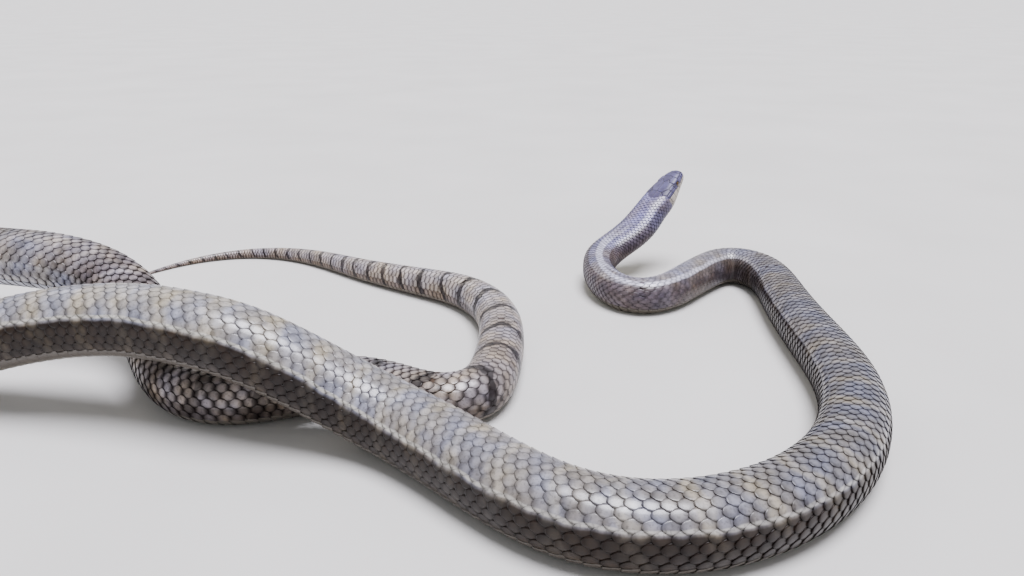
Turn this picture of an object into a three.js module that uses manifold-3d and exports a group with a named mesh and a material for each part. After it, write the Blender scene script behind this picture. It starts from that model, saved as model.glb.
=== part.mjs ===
import * as THREE from "three";
import Module from "manifold-3d";

// King cobra lying in loose bends with its neck and head raised. Millimetres, +Z up, floor at z = 0.

// Middle line from the snout to the tail tip: x, y, height of the belly above the floor, body radius.
const bodyPath = [
  [250.91, 1232.82, 117.65, 22], [234.56, 1219.24, 99.42, 22], [218.21, 1205.66, 81.19, 22],
  [201.86, 1192.08, 62.96, 22], [185.51, 1178.5, 44.73, 22], [164, 1167, 30.6, 22],
  [143, 1156, 20, 21.6], [126, 1135, 12.6, 21.2], [119, 1099, 6.8, 21.3], [124, 1060, 2.9, 21.8],
  [141, 1024, 0, 22.6], [170, 1006, 0, 23.2], [207, 1026, 0, 23.8], [242, 1072, 0, 24.4],
  [271, 1106, 0, 24.9], [298, 1133, 0, 25.3], [330, 1130, 0, 25.6], [350, 1098, 0, 26],
  [353, 1050, 0, 26.4], [346, 987, 0, 27.1], [341, 907, 0, 28], [340, 828, 0, 29],
  [336, 752, 0, 29.8], [318, 680, 0, 30.5], [284, 612, 0, 31.2], [232, 555, 0, 31.8],
  [168, 518, 0, 32.3], [100, 506, 0, 32.8], [38, 524, 0, 33.2], [-16, 574, 0, 33.6],
  [-62, 624, 0, 33.9], [-106, 660, 4, 34.1], [-150, 679, 18, 34.2], [-200, 687, 44, 34.4],
  [-250, 695, 66, 34.6], [-305, 713, 71, 34.8], [-362, 733, 71, 35], [-430, 744, 64, 35.1],
  [-499, 753, 47, 35.2], [-570, 760, 24, 35.3], [-645, 770, 7, 35.3], [-725, 796, 0, 35.4],
  [-793, 852, 0, 35.4], [-820, 938, 4, 35.2], [-792, 1018, 16, 34.9], [-718, 1030, 37, 34.6],
  [-652, 977, 59, 34], [-590, 922, 73, 33.4], [-523, 900, 77, 32.7], [-463, 890, 66, 32],
  [-416, 862, 46, 31], [-380, 812, 20, 30], [-350, 762, 5, 29], [-310, 728, 0, 28.6],
  [-262, 720, 0, 28.2], [-215, 741, 0, 27.8], [-168, 757, 0, 27.4], [-126, 744, 0, 27],
  [-96, 724, 0, 26.7], [-66, 714, 0, 26.4], [-38, 726, 0, 26.1], [-22, 755, 0, 25.8],
  [-15, 805, 0, 25.4], [-11, 867, 0, 25], [-14, 933, 0, 24.3], [-35, 995, 0, 23.2],
  [-70, 1040, 0, 21.7], [-114, 1069, 0, 19.8], [-165, 1102, 0, 17.7], [-215, 1137, 0, 15.5],
  [-262, 1178, 0, 13.3], [-310, 1213, 0, 11.2], [-362, 1236, 0, 9.1], [-418, 1240, 0, 7.1],
  [-470, 1222, 0, 5.1], [-512, 1188, 0, 3.3], [-542, 1146, 0, 1.6],
];
const pathSteps = 24;

// Lengths of the body, each from the end of the one before it: distance from the snout, ring corners.
const headLength = 80;
const lengths = {
  neck_1: [195, 24], neck_2: [330, 24],
  torso_01: [470, 20], torso_02: [600, 20], torso_03: [830, 20], torso_04: [1060, 20],
  torso_05: [1230, 20], torso_06: [1390, 20], torso_07: [1590, 20], torso_08: [1830, 20],
  torso_09: [2080, 20], torso_10: [2260, 20], torso_11: [2400, 20], torso_12: [2530, 20],
  torso_13: [2710, 20], torso_14: [2880, 20], torso_15: [3040, 20], torso_16: [3190, 20],
  torso_17: [3370, 20], tail_1: [3540, 18], tail_2: [3740, 16], tail_3: [3960, 14],
  tail_4: [Infinity, 12],
};
const cutGap = 0.3;
const ringTurn = 0.24;
// Belly scutes: one from ring to ring, rising to its rear edge, which laps over the next.
const scute = { plain: 5, perRadius: 0.78, halfAngle: 1.1, rise: 0.15, risePerRadius: 0.02, pressedBelow: 3 };

// Cross-section in body radii. The belly is flat where it can rest on the floor.
const section = { wide: 1.04, top: 0.97, low: 0.98, flat: 0.944, roundTop: 2.15, roundLow: 2.3 };
// The slightly spread neck: distance from the snout, width and height against the plain section.
const neckShape = [
  [80, 1.12, 0.87], [130, 1.34, 0.85], [175, 1.2, 0.88], [225, 0.99, 0.97], [290, 0.98, 1.04], [380, 1, 1],
];

// Head: distance from the snout, half width, top, underside, widest level, squareness of the top.
const headShape = [
  [0, 0, -1.5, -1.5, -1.5, 2.2], [1, 4.9, 1.8, -4.7, -1.6, 2.3], [3, 8.2, 4.4, -7, -1.6, 2.5],
  [6, 10.6, 6.6, -8.7, -1.6, 2.8], [10, 12.4, 8.4, -10.1, -1.8, 3], [16, 14.1, 10.2, -11.3, -1.8, 3.2],
  [22, 15.8, 11.7, -12.4, -1.6, 3.2], [28, 17.4, 12.7, -13.5, -1.6, 3.1],
  [36, 19.7, 13.4, -14.8, -1.8, 2.9], [46, 22.9, 14.1, -16.1, -2, 2.7],
  [56, 25, 15, -17.2, -2, 2.5], [64, 25.7, 16, -17.8, -1.6, 2.35],
  [72, 25.7, 17.3, -18.3, -0.8, 2.25], [80, 25.63, 18.57, -18.76, 0, 2.15],
];
const headRings = [0.35, 1, 2, 3.5, 5.5, 8, 11, 14, 18, 22, 26, 30, 35, 40, 46, 52, 58, 64, 70, 75];
const headCorners = 36;
const mouthLine = [
  [-3, -4.4], [6, -4.2], [14, -4.6], [22, -5.4], [30, -6], [40, -5.6], [50, -3.9], [58, -2.2], [62, -1.8],
];
const jawBack = [[66, -4], [70, -24]];
const mouthGap = 0.36;
const eye = { back: 25.2, down: 0.675, radius: 4.5, bulge: 2.5, depth: 1.6, gap: 0.3 };
const nostril = { back: 7.3, down: 0.64, radius: 1.25, stretch: 1.35 };

// Shields of the head as outlines on its surface: distance from the snout, and the way down from the
// midline of the crown (0) over the line of the mouth (1) to the midline of the throat (2).
const middleShields = {
  rostral: { aroundTip: true, corners: [[0.9, -0.99], [1.6, -0.97], [2.4, -0.8], [2.7, -0.6], [3.4, -0.34],
    [4.8, 0], [3.4, 0.34], [2.7, 0.6], [2.4, 0.8], [1.6, 0.97], [0.9, 0.99]] },
  frontal: { corners: [[17.9, 0], [19.9, -0.24], [26.6, -0.19], [33.3, 0], [26.6, 0.19], [19.9, 0.24]] },
  mental: { corners: [[2.6, 1.5], [5.4, 1.8], [5.4, 2.2], [2.6, 2.5], [2.2, 2.1], [2.2, 1.9]] },
};
const sideShields = {
  internasal: { corners: [[5.1, 0.02], [9.4, 0.01], [10.2, 0.27], [8.2, 0.47], [3.9, 0.42]] },
  prefrontal: { corners: [[9.9, 0.01], [17.4, 0.01], [19.3, 0.24], [18.6, 0.5], [12.2, 0.52], [8.8, 0.49],
    [10.6, 0.28]] },
  supraocular: { rise: 0.8, corners: [[19, 0.5], [19.9, 0.27], [26.6, 0.22], [31.3, 0.28], [31.6, 0.5],
    [25.2, 0.56]] },
  parietal: { corners: [[33.7, 0.01], [51, 0.01], [52.2, 0.24], [43, 0.42], [32.4, 0.47], [31.9, 0.28],
    [27.7, 0.19]] },
  occipital: { corners: [[51.6, 0.01], [65, 0.01], [66.4, 0.17], [59, 0.31], [52.8, 0.25]] },
  nasal: { corners: [[3.4, 0.46], [8.2, 0.51], [11.8, 0.55], [11.8, 0.79], [3, 0.79]] },
  preocular: { corners: [[12.3, 0.55], [18.6, 0.53], [21.4, 0.6], [20.8, 0.78], [12.3, 0.79]] },
  postocular: { corners: [[29.4, 0.56], [33.6, 0.49], [34.4, 0.68], [31.6, 0.78], [29, 0.76]] },
  temporal_1: { corners: [[34.2, 0.49], [43.2, 0.44], [43.4, 0.56], [34.6, 0.6]] },
  temporal_2: { corners: [[34.7, 0.62], [43.4, 0.58], [43.4, 0.69], [34.6, 0.71]] },
  temporal_3: { corners: [[43.8, 0.43], [52.8, 0.27], [57.5, 0.42], [54.5, 0.56], [43.9, 0.56]] },
  temporal_4: { corners: [[43.9, 0.58], [54.5, 0.58], [55.5, 0.7], [43.9, 0.7]] },
};
// Lip shields: their edges from front to back, and how far they reach up or down from the mouth.
const upperLip = {
  edges: [2.8, 7, 12, 18, 25.5, 33.5, 43, 54],
  reach: [0.81, 0.81, 0.81, 0.82, 0.8, 0.73, 0.72, 0.73],
};
const lowerLip = { edges: [3.2, 8, 15, 24, 34, 45, 56], reach: [1.3, 1.28, 1.26, 1.25, 1.24, 1.23, 1.22] };
const chinShields = { edges: [6.5, 21, 35], inner: 1.97, outer: [1.55, 1.5, 1.6] };
const shieldForm = { rise: 0.45, sink: 1, groove: 0.35, edge: 6.5, broad: 5.5, lipEdge: 0.02 };

const colours = {
  head: 0x77717a, lower_jaw: 0xb3a894, neck: 0x857c70, torso: 0x6f6552, tail: 0xb09d8c, eye: 0x17110c,
};

const wasm = await Module();
wasm.setup();

// Smooth value of one column of a table at u; rows start with their own u.
function tableValue(rows, u, column, spread = (value) => value) {
  const last = rows.length - 1;
  if (u <= rows[0][0]) return rows[0][column];
  if (u >= rows[last][0]) return rows[last][column];
  const i = rows.findIndex((row, k) => k < last && u < rows[k + 1][0]);
  const slope = (a, b) => (rows[b][column] - rows[a][column]) / (spread(rows[b][0]) - spread(rows[a][0]));
  const here = slope(i, i + 1);
  const join = (a, b) => (a * b > 0 ? (2 * a * b) / (a + b) : 0);
  const [leave, arrive] = [i > 0 ? join(slope(i - 1, i), here) : here,
    i + 1 < last ? join(here, slope(i + 1, i + 2)) : here];
  const step = spread(rows[i + 1][0]) - spread(rows[i][0]);
  const f = (spread(u) - spread(rows[i][0])) / step;
  const [p, q] = [rows[i][column], rows[i + 1][column]];
  return p * (2 * f ** 3 - 3 * f ** 2 + 1) + leave * step * (f ** 3 - 2 * f ** 2 + f)
    + q * (3 * f ** 2 - 2 * f ** 3) + arrive * step * (f ** 3 - f ** 2);
}

// Points of the middle line with distance from the snout, direction, up and side.
function walkPath() {
  const beyond = (a, b) => a.map((value, k) => 2 * value - b[k]);
  const knots = [beyond(bodyPath[0], bodyPath[1]), ...bodyPath, beyond(bodyPath.at(-1), bodyPath.at(-2))];
  const steps = [];
  for (let i = 0; i + 3 < knots.length; i++) {
    const last = i + 4 === knots.length ? 1 : 0;
    for (let k = 0; k < pathSteps + last; k++) {
      const t = k / pathSteps;
      const weights = [(1 - t) ** 3, 3 * t ** 3 - 6 * t ** 2 + 4, -3 * t ** 3 + 3 * t ** 2 + 3 * t + 1,
        t ** 3];
      const slopes = [-((1 - t) ** 2), 3 * t ** 2 - 4 * t, -3 * t ** 2 + 2 * t + 1, t ** 2];
      const mix = (by) => [0, 1, 2, 3].map((n) => by.reduce((sum, w, m) => sum + w * knots[i + m][n], 0));
      const [x, y, lift, radius] = mix(weights).map((value) => value / 6);
      const ahead = new THREE.Vector3(...mix(slopes).slice(0, 3)).normalize();
      const up = new THREE.Vector3(0, 0, 1).addScaledVector(ahead, -ahead.z).normalize();
      const side = new THREE.Vector3().crossVectors(up, ahead);
      const floorPoint = new THREE.Vector3(x, y, lift);
      const before = steps.at(-1);
      const s = before ? before.s + before.floorPoint.distanceTo(floorPoint) : 0;
      const drop = radius * section.low * section.flat;
      steps.push({ s, floorPoint, radius, ahead, up, side, centre: new THREE.Vector3(x, y, lift + drop) });
    }
  }
  return steps;
}
const walk = walkPath();

// The middle line at a distance from the snout.
function stationAt(s) {
  const i = Math.min(walk.findIndex((step) => step.s > s), walk.length - 1);
  if (i < 0) return { ...walk.at(-1), s: walk.at(-1).s };
  const [a, b] = [walk[i - 1], walk[i]];
  const f = (s - a.s) / (b.s - a.s);
  const blend = (key) => a[key].clone().lerp(b[key], f);
  return {
    s, radius: a.radius + (b.radius - a.radius) * f, centre: blend("centre"), floorPoint: blend("floorPoint"),
    ahead: blend("ahead").normalize(), up: blend("up").normalize(), side: blend("side").normalize(),
  };
}

// One corner of a rounded section; angle 0 is the back, a half turn the belly.
function sectionCorner(angle, half, top, low, middle, roundTop, roundLow, flat) {
  const [sin, cos] = [Math.sin(angle), Math.cos(angle)];
  const power = 2 / (cos >= 0 ? roundTop : roundLow);
  const across = half * Math.sign(sin) * Math.abs(sin) ** power;
  const rise = Math.abs(cos) ** power;
  return [across, cos >= 0 ? middle + (top - middle) * rise : Math.max(middle + (low - middle) * rise, flat)];
}

// Ring of the body; with raised true it stands out at the rear edge of a belly scute.
function bodyRing(station, corners, raised) {
  const wide = tableValue(neckShape, station.s, 1) * station.radius * section.wide;
  const high = tableValue(neckShape, station.s, 2) * station.radius;
  const low = -high * section.low;
  const rise = raised ? scute.rise + scute.risePerRadius * station.radius : 0;
  const free = Math.min(station.floorPoint.z / scute.pressedBelow, 1);
  return Array.from({ length: corners }, (_, k) => {
    const angle = (2 * Math.PI * k) / corners;
    const [x, z] = sectionCorner(angle, wide, high * section.top, low, 0,
      section.roundTop, section.roundLow, low * section.flat);
    const resting = z < low * section.flat + 0.01 ? free : 1;
    const out = Math.abs(angle - Math.PI) < scute.halfAngle ? 1 + (rise * resting) / Math.hypot(x, z) : 1;
    return station.centre.clone().addScaledVector(station.side, x * out).addScaledVector(station.up, z * out);
  });
}

// Closed solid of triangles given as corner points: equal points are joined, empty triangles left out.
function solidOf(corners) {
  const keys = new Map();
  const points = [];
  const ids = corners.map((corner) => {
    const key = corner.map((value) => Math.round(value * 1e4)).join();
    if (!keys.has(key)) {
      keys.set(key, keys.size);
      points.push(...corner);
    }
    return keys.get(key);
  });
  const faces = [];
  for (let i = 0; i < ids.length; i += 3) {
    const [a, b, c] = ids.slice(i, i + 3);
    if (a !== b && b !== c && c !== a) faces.push(a, b, c);
  }
  return new wasm.Manifold(new wasm.Mesh({
    numProp: 3, vertProperties: new Float32Array(points), triVerts: new Uint32Array(faces),
  }));
}

function solidOfGeometry(geometry) {
  const position = (geometry.index ? geometry.toNonIndexed() : geometry).getAttribute("position");
  return solidOf(Array.from({ length: position.count },
    (_, i) => [position.getX(i), position.getY(i), position.getZ(i)]));
}

// Closed solid through rings of equal count, ending in flat faces or in points.
function loft(rings, startPoint, endPoint) {
  const count = rings[0].length;
  const middle = (ring) => ring.reduce((sum, p) => sum.add(p), new THREE.Vector3()).divideScalar(count);
  const [start, end] = [startPoint ?? middle(rings[0]), endPoint ?? middle(rings.at(-1))];
  const corners = [];
  for (let k = 0; k < count; k++) {
    const next = (k + 1) % count;
    corners.push(start, rings[0][k], rings[0][next]);
    for (let r = 0; r + 1 < rings.length; r++) {
      const [a, b] = [rings[r], rings[r + 1]];
      corners.push(a[k], b[next], a[next], a[k], b[k], b[next]);
    }
    corners.push(end, rings.at(-1)[next], rings.at(-1)[k]);
  }
  return solidOf(corners.map((point) => point.toArray()));
}

// One length of the body, with a ring at the edge of each belly scute.
function bodyLength(from, to, corners) {
  const stations = [stationAt(from)];
  const end = stationAt(Math.min(to, walk.at(-1).s));
  for (const step of walk) {
    const last = stations.at(-1);
    const pitch = scute.plain + scute.perRadius * step.radius;
    if (step.s <= from || step.s > end.s - pitch * 0.6) continue;
    if (step.ahead.angleTo(last.ahead) < ringTurn && step.s - last.s < pitch) continue;
    if (step.s - last.s > pitch * 0.4) stations.push(step);
  }
  const between = stations.slice(1)
    .flatMap((one) => [bodyRing(one, corners, true), bodyRing(one, corners, false)]);
  const rings = [bodyRing(stations[0], corners, false), ...between, bodyRing(end, corners, true)];
  const tip = to > end.s ? end.centre.clone().addScaledVector(end.ahead, end.radius) : undefined;
  return loft(rings, undefined, tip);
}

const headFrame = stationAt(0);
function headPoint(back, across, level) {
  return headFrame.centre.clone().addScaledVector(headFrame.ahead, back)
    .addScaledVector(headFrame.side, across).addScaledVector(headFrame.up, level);
}

const headSize = (back, column) => tableValue(headShape, back, column, Math.sqrt);

function headCorner(back, angle) {
  const [half, top, low, middle, roundTop] = [1, 2, 3, 4, 5].map((column) => headSize(back, column));
  return headPoint(back, ...sectionCorner(angle, half, top, low, middle, roundTop, section.roundLow,
    low * section.flat));
}

function headRing(back) {
  return Array.from({ length: headCorners }, (_, k) => headCorner(back, (2 * Math.PI * k) / headCorners));
}

// Point of the head's surface: down runs from the crown (0) over the mouth (1) to the throat (2) by the
// length of the arc.
const headArcs = new Map();
function headArc(back) {
  if (!headArcs.has(back)) {
    const [low, middle] = [headSize(back, 3), headSize(back, 4)];
    const fall = Math.min(Math.max((middle - tableValue(mouthLine, back, 1)) / (middle - low), 0), 1);
    const mouth = Math.PI - Math.acos(fall ** (section.roundLow / 2));
    const arc = (from, to) => {
      const steps = [{ angle: from, way: 0, point: headCorner(back, from) }];
      for (let k = 1; k <= 60; k++) {
        const angle = from + ((to - from) * k) / 60;
        const point = headCorner(back, angle);
        steps.push({ angle, point, way: steps.at(-1).way + point.distanceTo(steps.at(-1).point) });
      }
      return steps;
    };
    headArcs.set(back, [arc(0, mouth), arc(mouth, Math.PI)]);
  }
  return headArcs.get(back);
}

function headSurface(back, down) {
  const turned = Math.abs(down) > 2 ? 4 - Math.abs(down) : Math.abs(down);
  const sign = (Math.abs(down) > 2 ? -1 : 1) * Math.sign(down);
  const steps = headArc(back)[turned > 1 ? 1 : 0];
  const way = (turned > 1 ? turned - 1 : turned) * steps.at(-1).way;
  const i = Math.max(1, steps.findIndex((step) => step.way >= way - 1e-9));
  const [a, b] = [steps[i - 1], steps[i]];
  const f = (way - a.way) / Math.max(b.way - a.way, 1e-9);
  return headCorner(back, sign * (a.angle + (b.angle - a.angle) * f));
}

function headNormal(back, down) {
  const [ahead, behind] = [Math.max(back - 0.1, 0.01), back + 0.1];
  const along = headSurface(behind, down).sub(headSurface(ahead, down));
  const across = headSurface(back, down + 0.01).sub(headSurface(back, down - 0.01));
  return along.cross(across).normalize();
}

// Raised plate over an outline on the head, sunk into it below. Outlines run round to the left.
function shieldPlate({ corners, aroundTip = false, rise = shieldForm.rise }, side = 1) {
  const outline = side > 0 ? corners : corners.map(([back, down]) => [back, -down]).reverse();
  const mean = (n) => outline.reduce((sum, corner) => sum + corner[n], 0) / outline.length;
  const middle = aroundTip ? [0.01, 0] : [mean(0), mean(1)];
  const centre = headSurface(...middle);
  const toward = ([back, down], share) => [middle[0] + (back - middle[0]) * share,
    aroundTip ? down : middle[1] + (down - middle[1]) * share];
  const reach = (at) => headSurface(...at).distanceTo(centre);
  const rim = outline.flatMap((from, k) => {
    const to = outline[(k + 1) % outline.length];
    const parts = Math.ceil(headSurface(...from).distanceTo(headSurface(...to)) / shieldForm.edge);
    return Array.from({ length: parts }, (_, n) => {
      const at = [from[0] + ((to[0] - from[0]) * n) / parts, from[1] + ((to[1] - from[1]) * n) / parts];
      return toward(at, 1 - shieldForm.groove / Math.max(reach(at), 1));
    });
  });
  const level = (at, height) => headSurface(...at).addScaledVector(headNormal(...at), height);
  const layer = (share, height) => rim.map((at) => level(toward(at, share), height));
  const inner = Math.max(...rim.map(reach)) > shieldForm.broad ? [layer(0.5, rise)] : [];
  return loft([...inner, layer(1, rise), layer(1, -shieldForm.sink)], level(middle, rise),
    level(middle, -shieldForm.sink));
}

function lipShields({ edges, reach }, sign) {
  return edges.slice(1).map((rear, k) => {
    const [front, nearEdge] = [edges[k], 1 - sign * shieldForm.lipEdge];
    const corners = [[front, reach[k]], [rear, reach[k + 1]], [rear, nearEdge], [front, nearEdge]];
    return { corners: sign > 0 ? corners : corners.reverse() };
  });
}

// Thin wall along the line of the mouth and down behind the jaw, which parts the lower jaw from the head.
function mouthCut() {
  const line = [...mouthLine.map(([t]) => t), 61]
    .sort((a, b) => a - b).map((t) => [t, tableValue(mouthLine, t, 1)]);
  const half = mouthGap / 2;
  const outer = [...line.map(([t, z]) => [t, z + half]), ...jawBack.map(([t, z]) => [t + half, z])];
  const inner = [...line.map(([t, z]) => [t, z - half]), ...jawBack.map(([t, z]) => [t - half, z])];
  const outline = [...outer, ...inner.reverse()];
  const wall = new THREE.ExtrudeGeometry(new THREE.Shape(outline.map(([t, z]) => new THREE.Vector2(t, z))),
    { depth: 80, bevelEnabled: false });
  wall.translate(0, 0, -40);
  const axes = new THREE.Matrix4().makeBasis(headFrame.ahead, headFrame.up,
    new THREE.Vector3().crossVectors(headFrame.ahead, headFrame.up));
  wall.applyMatrix4(axes.setPosition(headFrame.centre));
  return solidOfGeometry(wall);
}

function largestFirst(solid) {
  return solid.decompose().sort((a, b) => b.volume() - a.volume());
}

const cobra = new THREE.Group();
cobra.name = "king_cobra";
function addNode(name, solid, colour, roughness) {
  const mesh = solid.getMesh();
  const geometry = new THREE.BufferGeometry();
  geometry.setAttribute("position", new THREE.BufferAttribute(mesh.vertProperties, 3));
  geometry.setIndex(new THREE.BufferAttribute(mesh.triVerts, 1));
  geometry.computeVertexNormals();
  const material = new THREE.MeshStandardMaterial({ color: colour, roughness, metalness: 0 });
  const node = new THREE.Mesh(geometry, material);
  node.name = name;
  cobra.add(node);
}

// Head with its shields, nostrils and the sockets of the eyes, then parted from the lower jaw.
let skull = loft([...headRings.map(headRing), headRing(headLength - cutGap / 2)], headPoint(0, 0, -1.5));
for (const shield of Object.values(middleShields)) skull = skull.add(shieldPlate(shield));
const chin = chinShields.edges.slice(1).map((rear, k) => ({
  corners: [[chinShields.edges[k], chinShields.outer[k]], [rear, chinShields.outer[k + 1]],
    [rear, chinShields.inner], [chinShields.edges[k], chinShields.inner]],
}));
const lips = [...lipShields(upperLip, 1), ...lipShields(lowerLip, -1)];
const pairedShields = [...Object.values(sideShields), ...lips, ...chin];
for (const [name, side] of [["eye_left", -1], ["eye_right", 1]]) {
  for (const shield of pairedShields) skull = skull.add(shieldPlate(shield, side));
  const ball = (gap) => {
    const outward = headNormal(eye.back, side * eye.down);
    const at = headSurface(eye.back, side * eye.down).addScaledVector(outward, -eye.depth);
    const turn = new THREE.Quaternion().setFromUnitVectors(new THREE.Vector3(0, 0, 1), outward);
    const round = new THREE.IcosahedronGeometry(1, 3);
    round.scale(eye.radius + gap, eye.radius + gap, eye.bulge + gap);
    return solidOfGeometry(round.applyQuaternion(turn).translate(...at.toArray()));
  };
  skull = skull.subtract(ball(eye.gap));
  addNode(name, ball(0), colours.eye, 0.12);
  const opening = new THREE.IcosahedronGeometry(nostril.radius, 2).scale(nostril.stretch, 1, 1);
  opening.translate(...headSurface(nostril.back, side * nostril.down).toArray());
  skull = skull.subtract(solidOfGeometry(opening));
}
const [head, lowerJaw] = largestFirst(skull.subtract(mouthCut()));
addNode("head", head, colours.head, 0.5);
addNode("lower_jaw", lowerJaw, colours.lower_jaw, 0.5);

let reached = headLength;
for (const [name, [end, corners]] of Object.entries(lengths)) {
  const colour = colours[name.split("_")[0]];
  addNode(name, bodyLength(reached + cutGap / 2, end - cutGap / 2, corners), colour, 0.55);
  reached = end;
}

// the middle of the footprint is the origin
const box = new THREE.Box3().setFromObject(cobra);
cobra.position.set(-(box.min.x + box.max.x) / 2, -(box.min.y + box.max.y) / 2, 0);

export default cobra;
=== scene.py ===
import math

import bpy
import numpy as np
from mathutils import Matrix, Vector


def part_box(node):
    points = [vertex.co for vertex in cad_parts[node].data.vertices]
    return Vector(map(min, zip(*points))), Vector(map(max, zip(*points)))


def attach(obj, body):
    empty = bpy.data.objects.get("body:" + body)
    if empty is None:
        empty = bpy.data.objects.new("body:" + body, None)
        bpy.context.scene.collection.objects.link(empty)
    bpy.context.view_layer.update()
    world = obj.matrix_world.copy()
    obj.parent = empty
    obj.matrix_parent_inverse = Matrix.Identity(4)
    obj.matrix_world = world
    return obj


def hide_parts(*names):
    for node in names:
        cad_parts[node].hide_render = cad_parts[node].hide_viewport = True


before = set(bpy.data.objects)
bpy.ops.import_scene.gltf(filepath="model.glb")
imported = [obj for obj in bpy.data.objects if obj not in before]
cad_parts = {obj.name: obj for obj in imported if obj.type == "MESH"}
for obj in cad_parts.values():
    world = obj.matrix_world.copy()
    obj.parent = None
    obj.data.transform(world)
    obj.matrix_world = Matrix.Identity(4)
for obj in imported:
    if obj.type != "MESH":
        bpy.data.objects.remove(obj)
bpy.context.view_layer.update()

# A king cobra lying in loose bends, neck and head raised. Sizes are in millimetres until a mesh is made.
mm = 0.001

# Middle line from snout to tail tip: x, y, height of the belly above the floor, body radius.
bodyLine = {
    "steps": 24,
    "points": [
        [250.91, 1232.82, 117.65, 22], [234.56, 1219.24, 99.42, 22], [218.21, 1205.66, 81.19, 22],
        [201.86, 1192.08, 62.96, 22], [185.51, 1178.5, 44.73, 22], [164, 1167, 30.6, 22],
        [143, 1156, 20, 21.6], [126, 1135, 12.6, 21.2], [119, 1099, 6.8, 21.3],
        [124, 1060, 2.9, 21.8], [141, 1024, 0, 22.6], [170, 1006, 0, 23.2], [207, 1026, 0, 23.8],
        [242, 1072, 0, 24.4], [271, 1106, 0, 24.9], [298, 1133, 0, 25.3], [330, 1130, 0, 25.6],
        [350, 1098, 0, 26], [353, 1050, 0, 26.4], [346, 987, 0, 27.1], [341, 907, 0, 28],
        [340, 828, 0, 29], [336, 752, 0, 29.8], [318, 680, 0, 30.5], [284, 612, 0, 31.2],
        [232, 555, 0, 31.8], [168, 518, 0, 32.3], [100, 506, 0, 32.8], [38, 524, 0, 33.2],
        [-16, 574, 0, 33.6], [-62, 624, 0, 33.9], [-106, 660, 4, 34.1], [-150, 679, 18, 34.2],
        [-200, 687, 44, 34.4], [-250, 695, 66, 34.6], [-305, 713, 71, 34.8], [-362, 733, 71, 35],
        [-430, 744, 64, 35.1], [-499, 753, 47, 35.2], [-570, 760, 24, 35.3], [-645, 770, 7, 35.3],
        [-725, 796, 0, 35.4], [-793, 852, 0, 35.4], [-820, 938, 4, 35.2], [-792, 1018, 16, 34.9],
        [-718, 1030, 37, 34.6], [-652, 977, 59, 34], [-590, 922, 73, 33.4], [-523, 900, 77, 32.7],
        [-463, 890, 66, 32], [-416, 862, 46, 31], [-380, 812, 20, 30], [-350, 762, 5, 29],
        [-310, 728, 0, 28.6], [-262, 720, 0, 28.2], [-215, 741, 0, 27.8], [-168, 757, 0, 27.4],
        [-126, 744, 0, 27], [-96, 724, 0, 26.7], [-66, 714, 0, 26.4], [-38, 726, 0, 26.1],
        [-22, 755, 0, 25.8], [-15, 805, 0, 25.4], [-11, 867, 0, 25], [-14, 933, 0, 24.3],
        [-35, 995, 0, 23.2], [-70, 1040, 0, 21.7], [-114, 1069, 0, 19.8], [-165, 1102, 0, 17.7],
        [-215, 1137, 0, 15.5], [-262, 1178, 0, 13.3], [-310, 1213, 0, 11.2], [-362, 1236, 0, 9.1],
        [-418, 1240, 0, 7.1], [-470, 1222, 0, 5.1], [-512, 1188, 0, 3.3], [-542, 1146, 0, 1.6],
    ],
}

# Cross-section in body radii, and the slightly spread neck: distance from the snout, width, height.
bodySection = {
    "wide": 1.04, "top": 0.97, "low": 0.98, "flat": 0.944, "roundTop": 2.15, "roundLow": 2.3,
    "neck": [[80, 1.12, 0.87], [130, 1.34, 0.85], [175, 1.2, 0.88], [225, 0.99, 0.97], [290, 0.98, 1.04],
             [380, 1, 1]],
}

# Head: distance from the snout, half width, top, underside, widest level, squareness of the top.
headForm = {
    "length": 80,
    "rows": [
        [0, 0, -1.5, -1.5, -1.5, 2.2], [1, 4.9, 1.8, -4.7, -1.6, 2.3], [3, 8.2, 4.4, -7, -1.6, 2.5],
        [6, 10.6, 6.6, -8.7, -1.6, 2.8], [10, 12.4, 8.4, -10.1, -1.8, 3],
        [16, 14.1, 10.2, -11.3, -1.8, 3.2], [22, 15.8, 11.7, -12.4, -1.6, 3.2],
        [28, 17.4, 12.7, -13.5, -1.6, 3.1], [36, 19.7, 13.4, -14.8, -1.8, 2.9],
        [46, 22.9, 14.1, -16.1, -2, 2.7], [56, 25, 15, -17.2, -2, 2.5],
        [64, 25.7, 16, -17.8, -1.6, 2.35], [72, 25.7, 17.3, -18.3, -0.8, 2.25],
        [80, 25.63, 18.57, -18.76, 0, 2.15],
    ],
    "mouth": [[-3, -4.4], [6, -4.2], [14, -4.6], [22, -5.4], [30, -6], [40, -5.6], [50, -3.9],
              [58, -2.2], [62, -1.8]],
}


def unit(vectors):
    return vectors / np.maximum(np.linalg.norm(vectors, axis=-1, keepdims=True), 1e-12)


def ease(x):
    x = np.clip(x, 0, 1)
    return x * x * (3 - 2 * x)


# Smooth curve through one column of a table; rows start with where they are.
def tableValue(rows, at, column, spread=lambda u: u):
    rows = np.array(rows, float)
    x, y = spread(rows[:, 0]), rows[:, column]
    slope = np.diff(y) / np.diff(x)
    product, total = slope[:-1] * slope[1:], slope[:-1] + slope[1:]
    joined = np.where(product > 0, 2 * product / np.where(product > 0, total, 1), 0)
    bend = np.concatenate([slope[:1], joined, slope[-1:]])
    u = spread(np.clip(np.asarray(at, float), rows[0, 0], rows[-1, 0]))
    i = np.clip(np.searchsorted(x, u, "right") - 1, 0, len(x) - 2)
    step = x[i + 1] - x[i]
    f = (u - x[i]) / step
    return (y[i] * (2 * f ** 3 - 3 * f ** 2 + 1) + bend[i] * step * (f ** 3 - 2 * f ** 2 + f)
            + y[i + 1] * (3 * f ** 2 - 2 * f ** 3) + bend[i + 1] * step * (f ** 3 - f ** 2))


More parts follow.
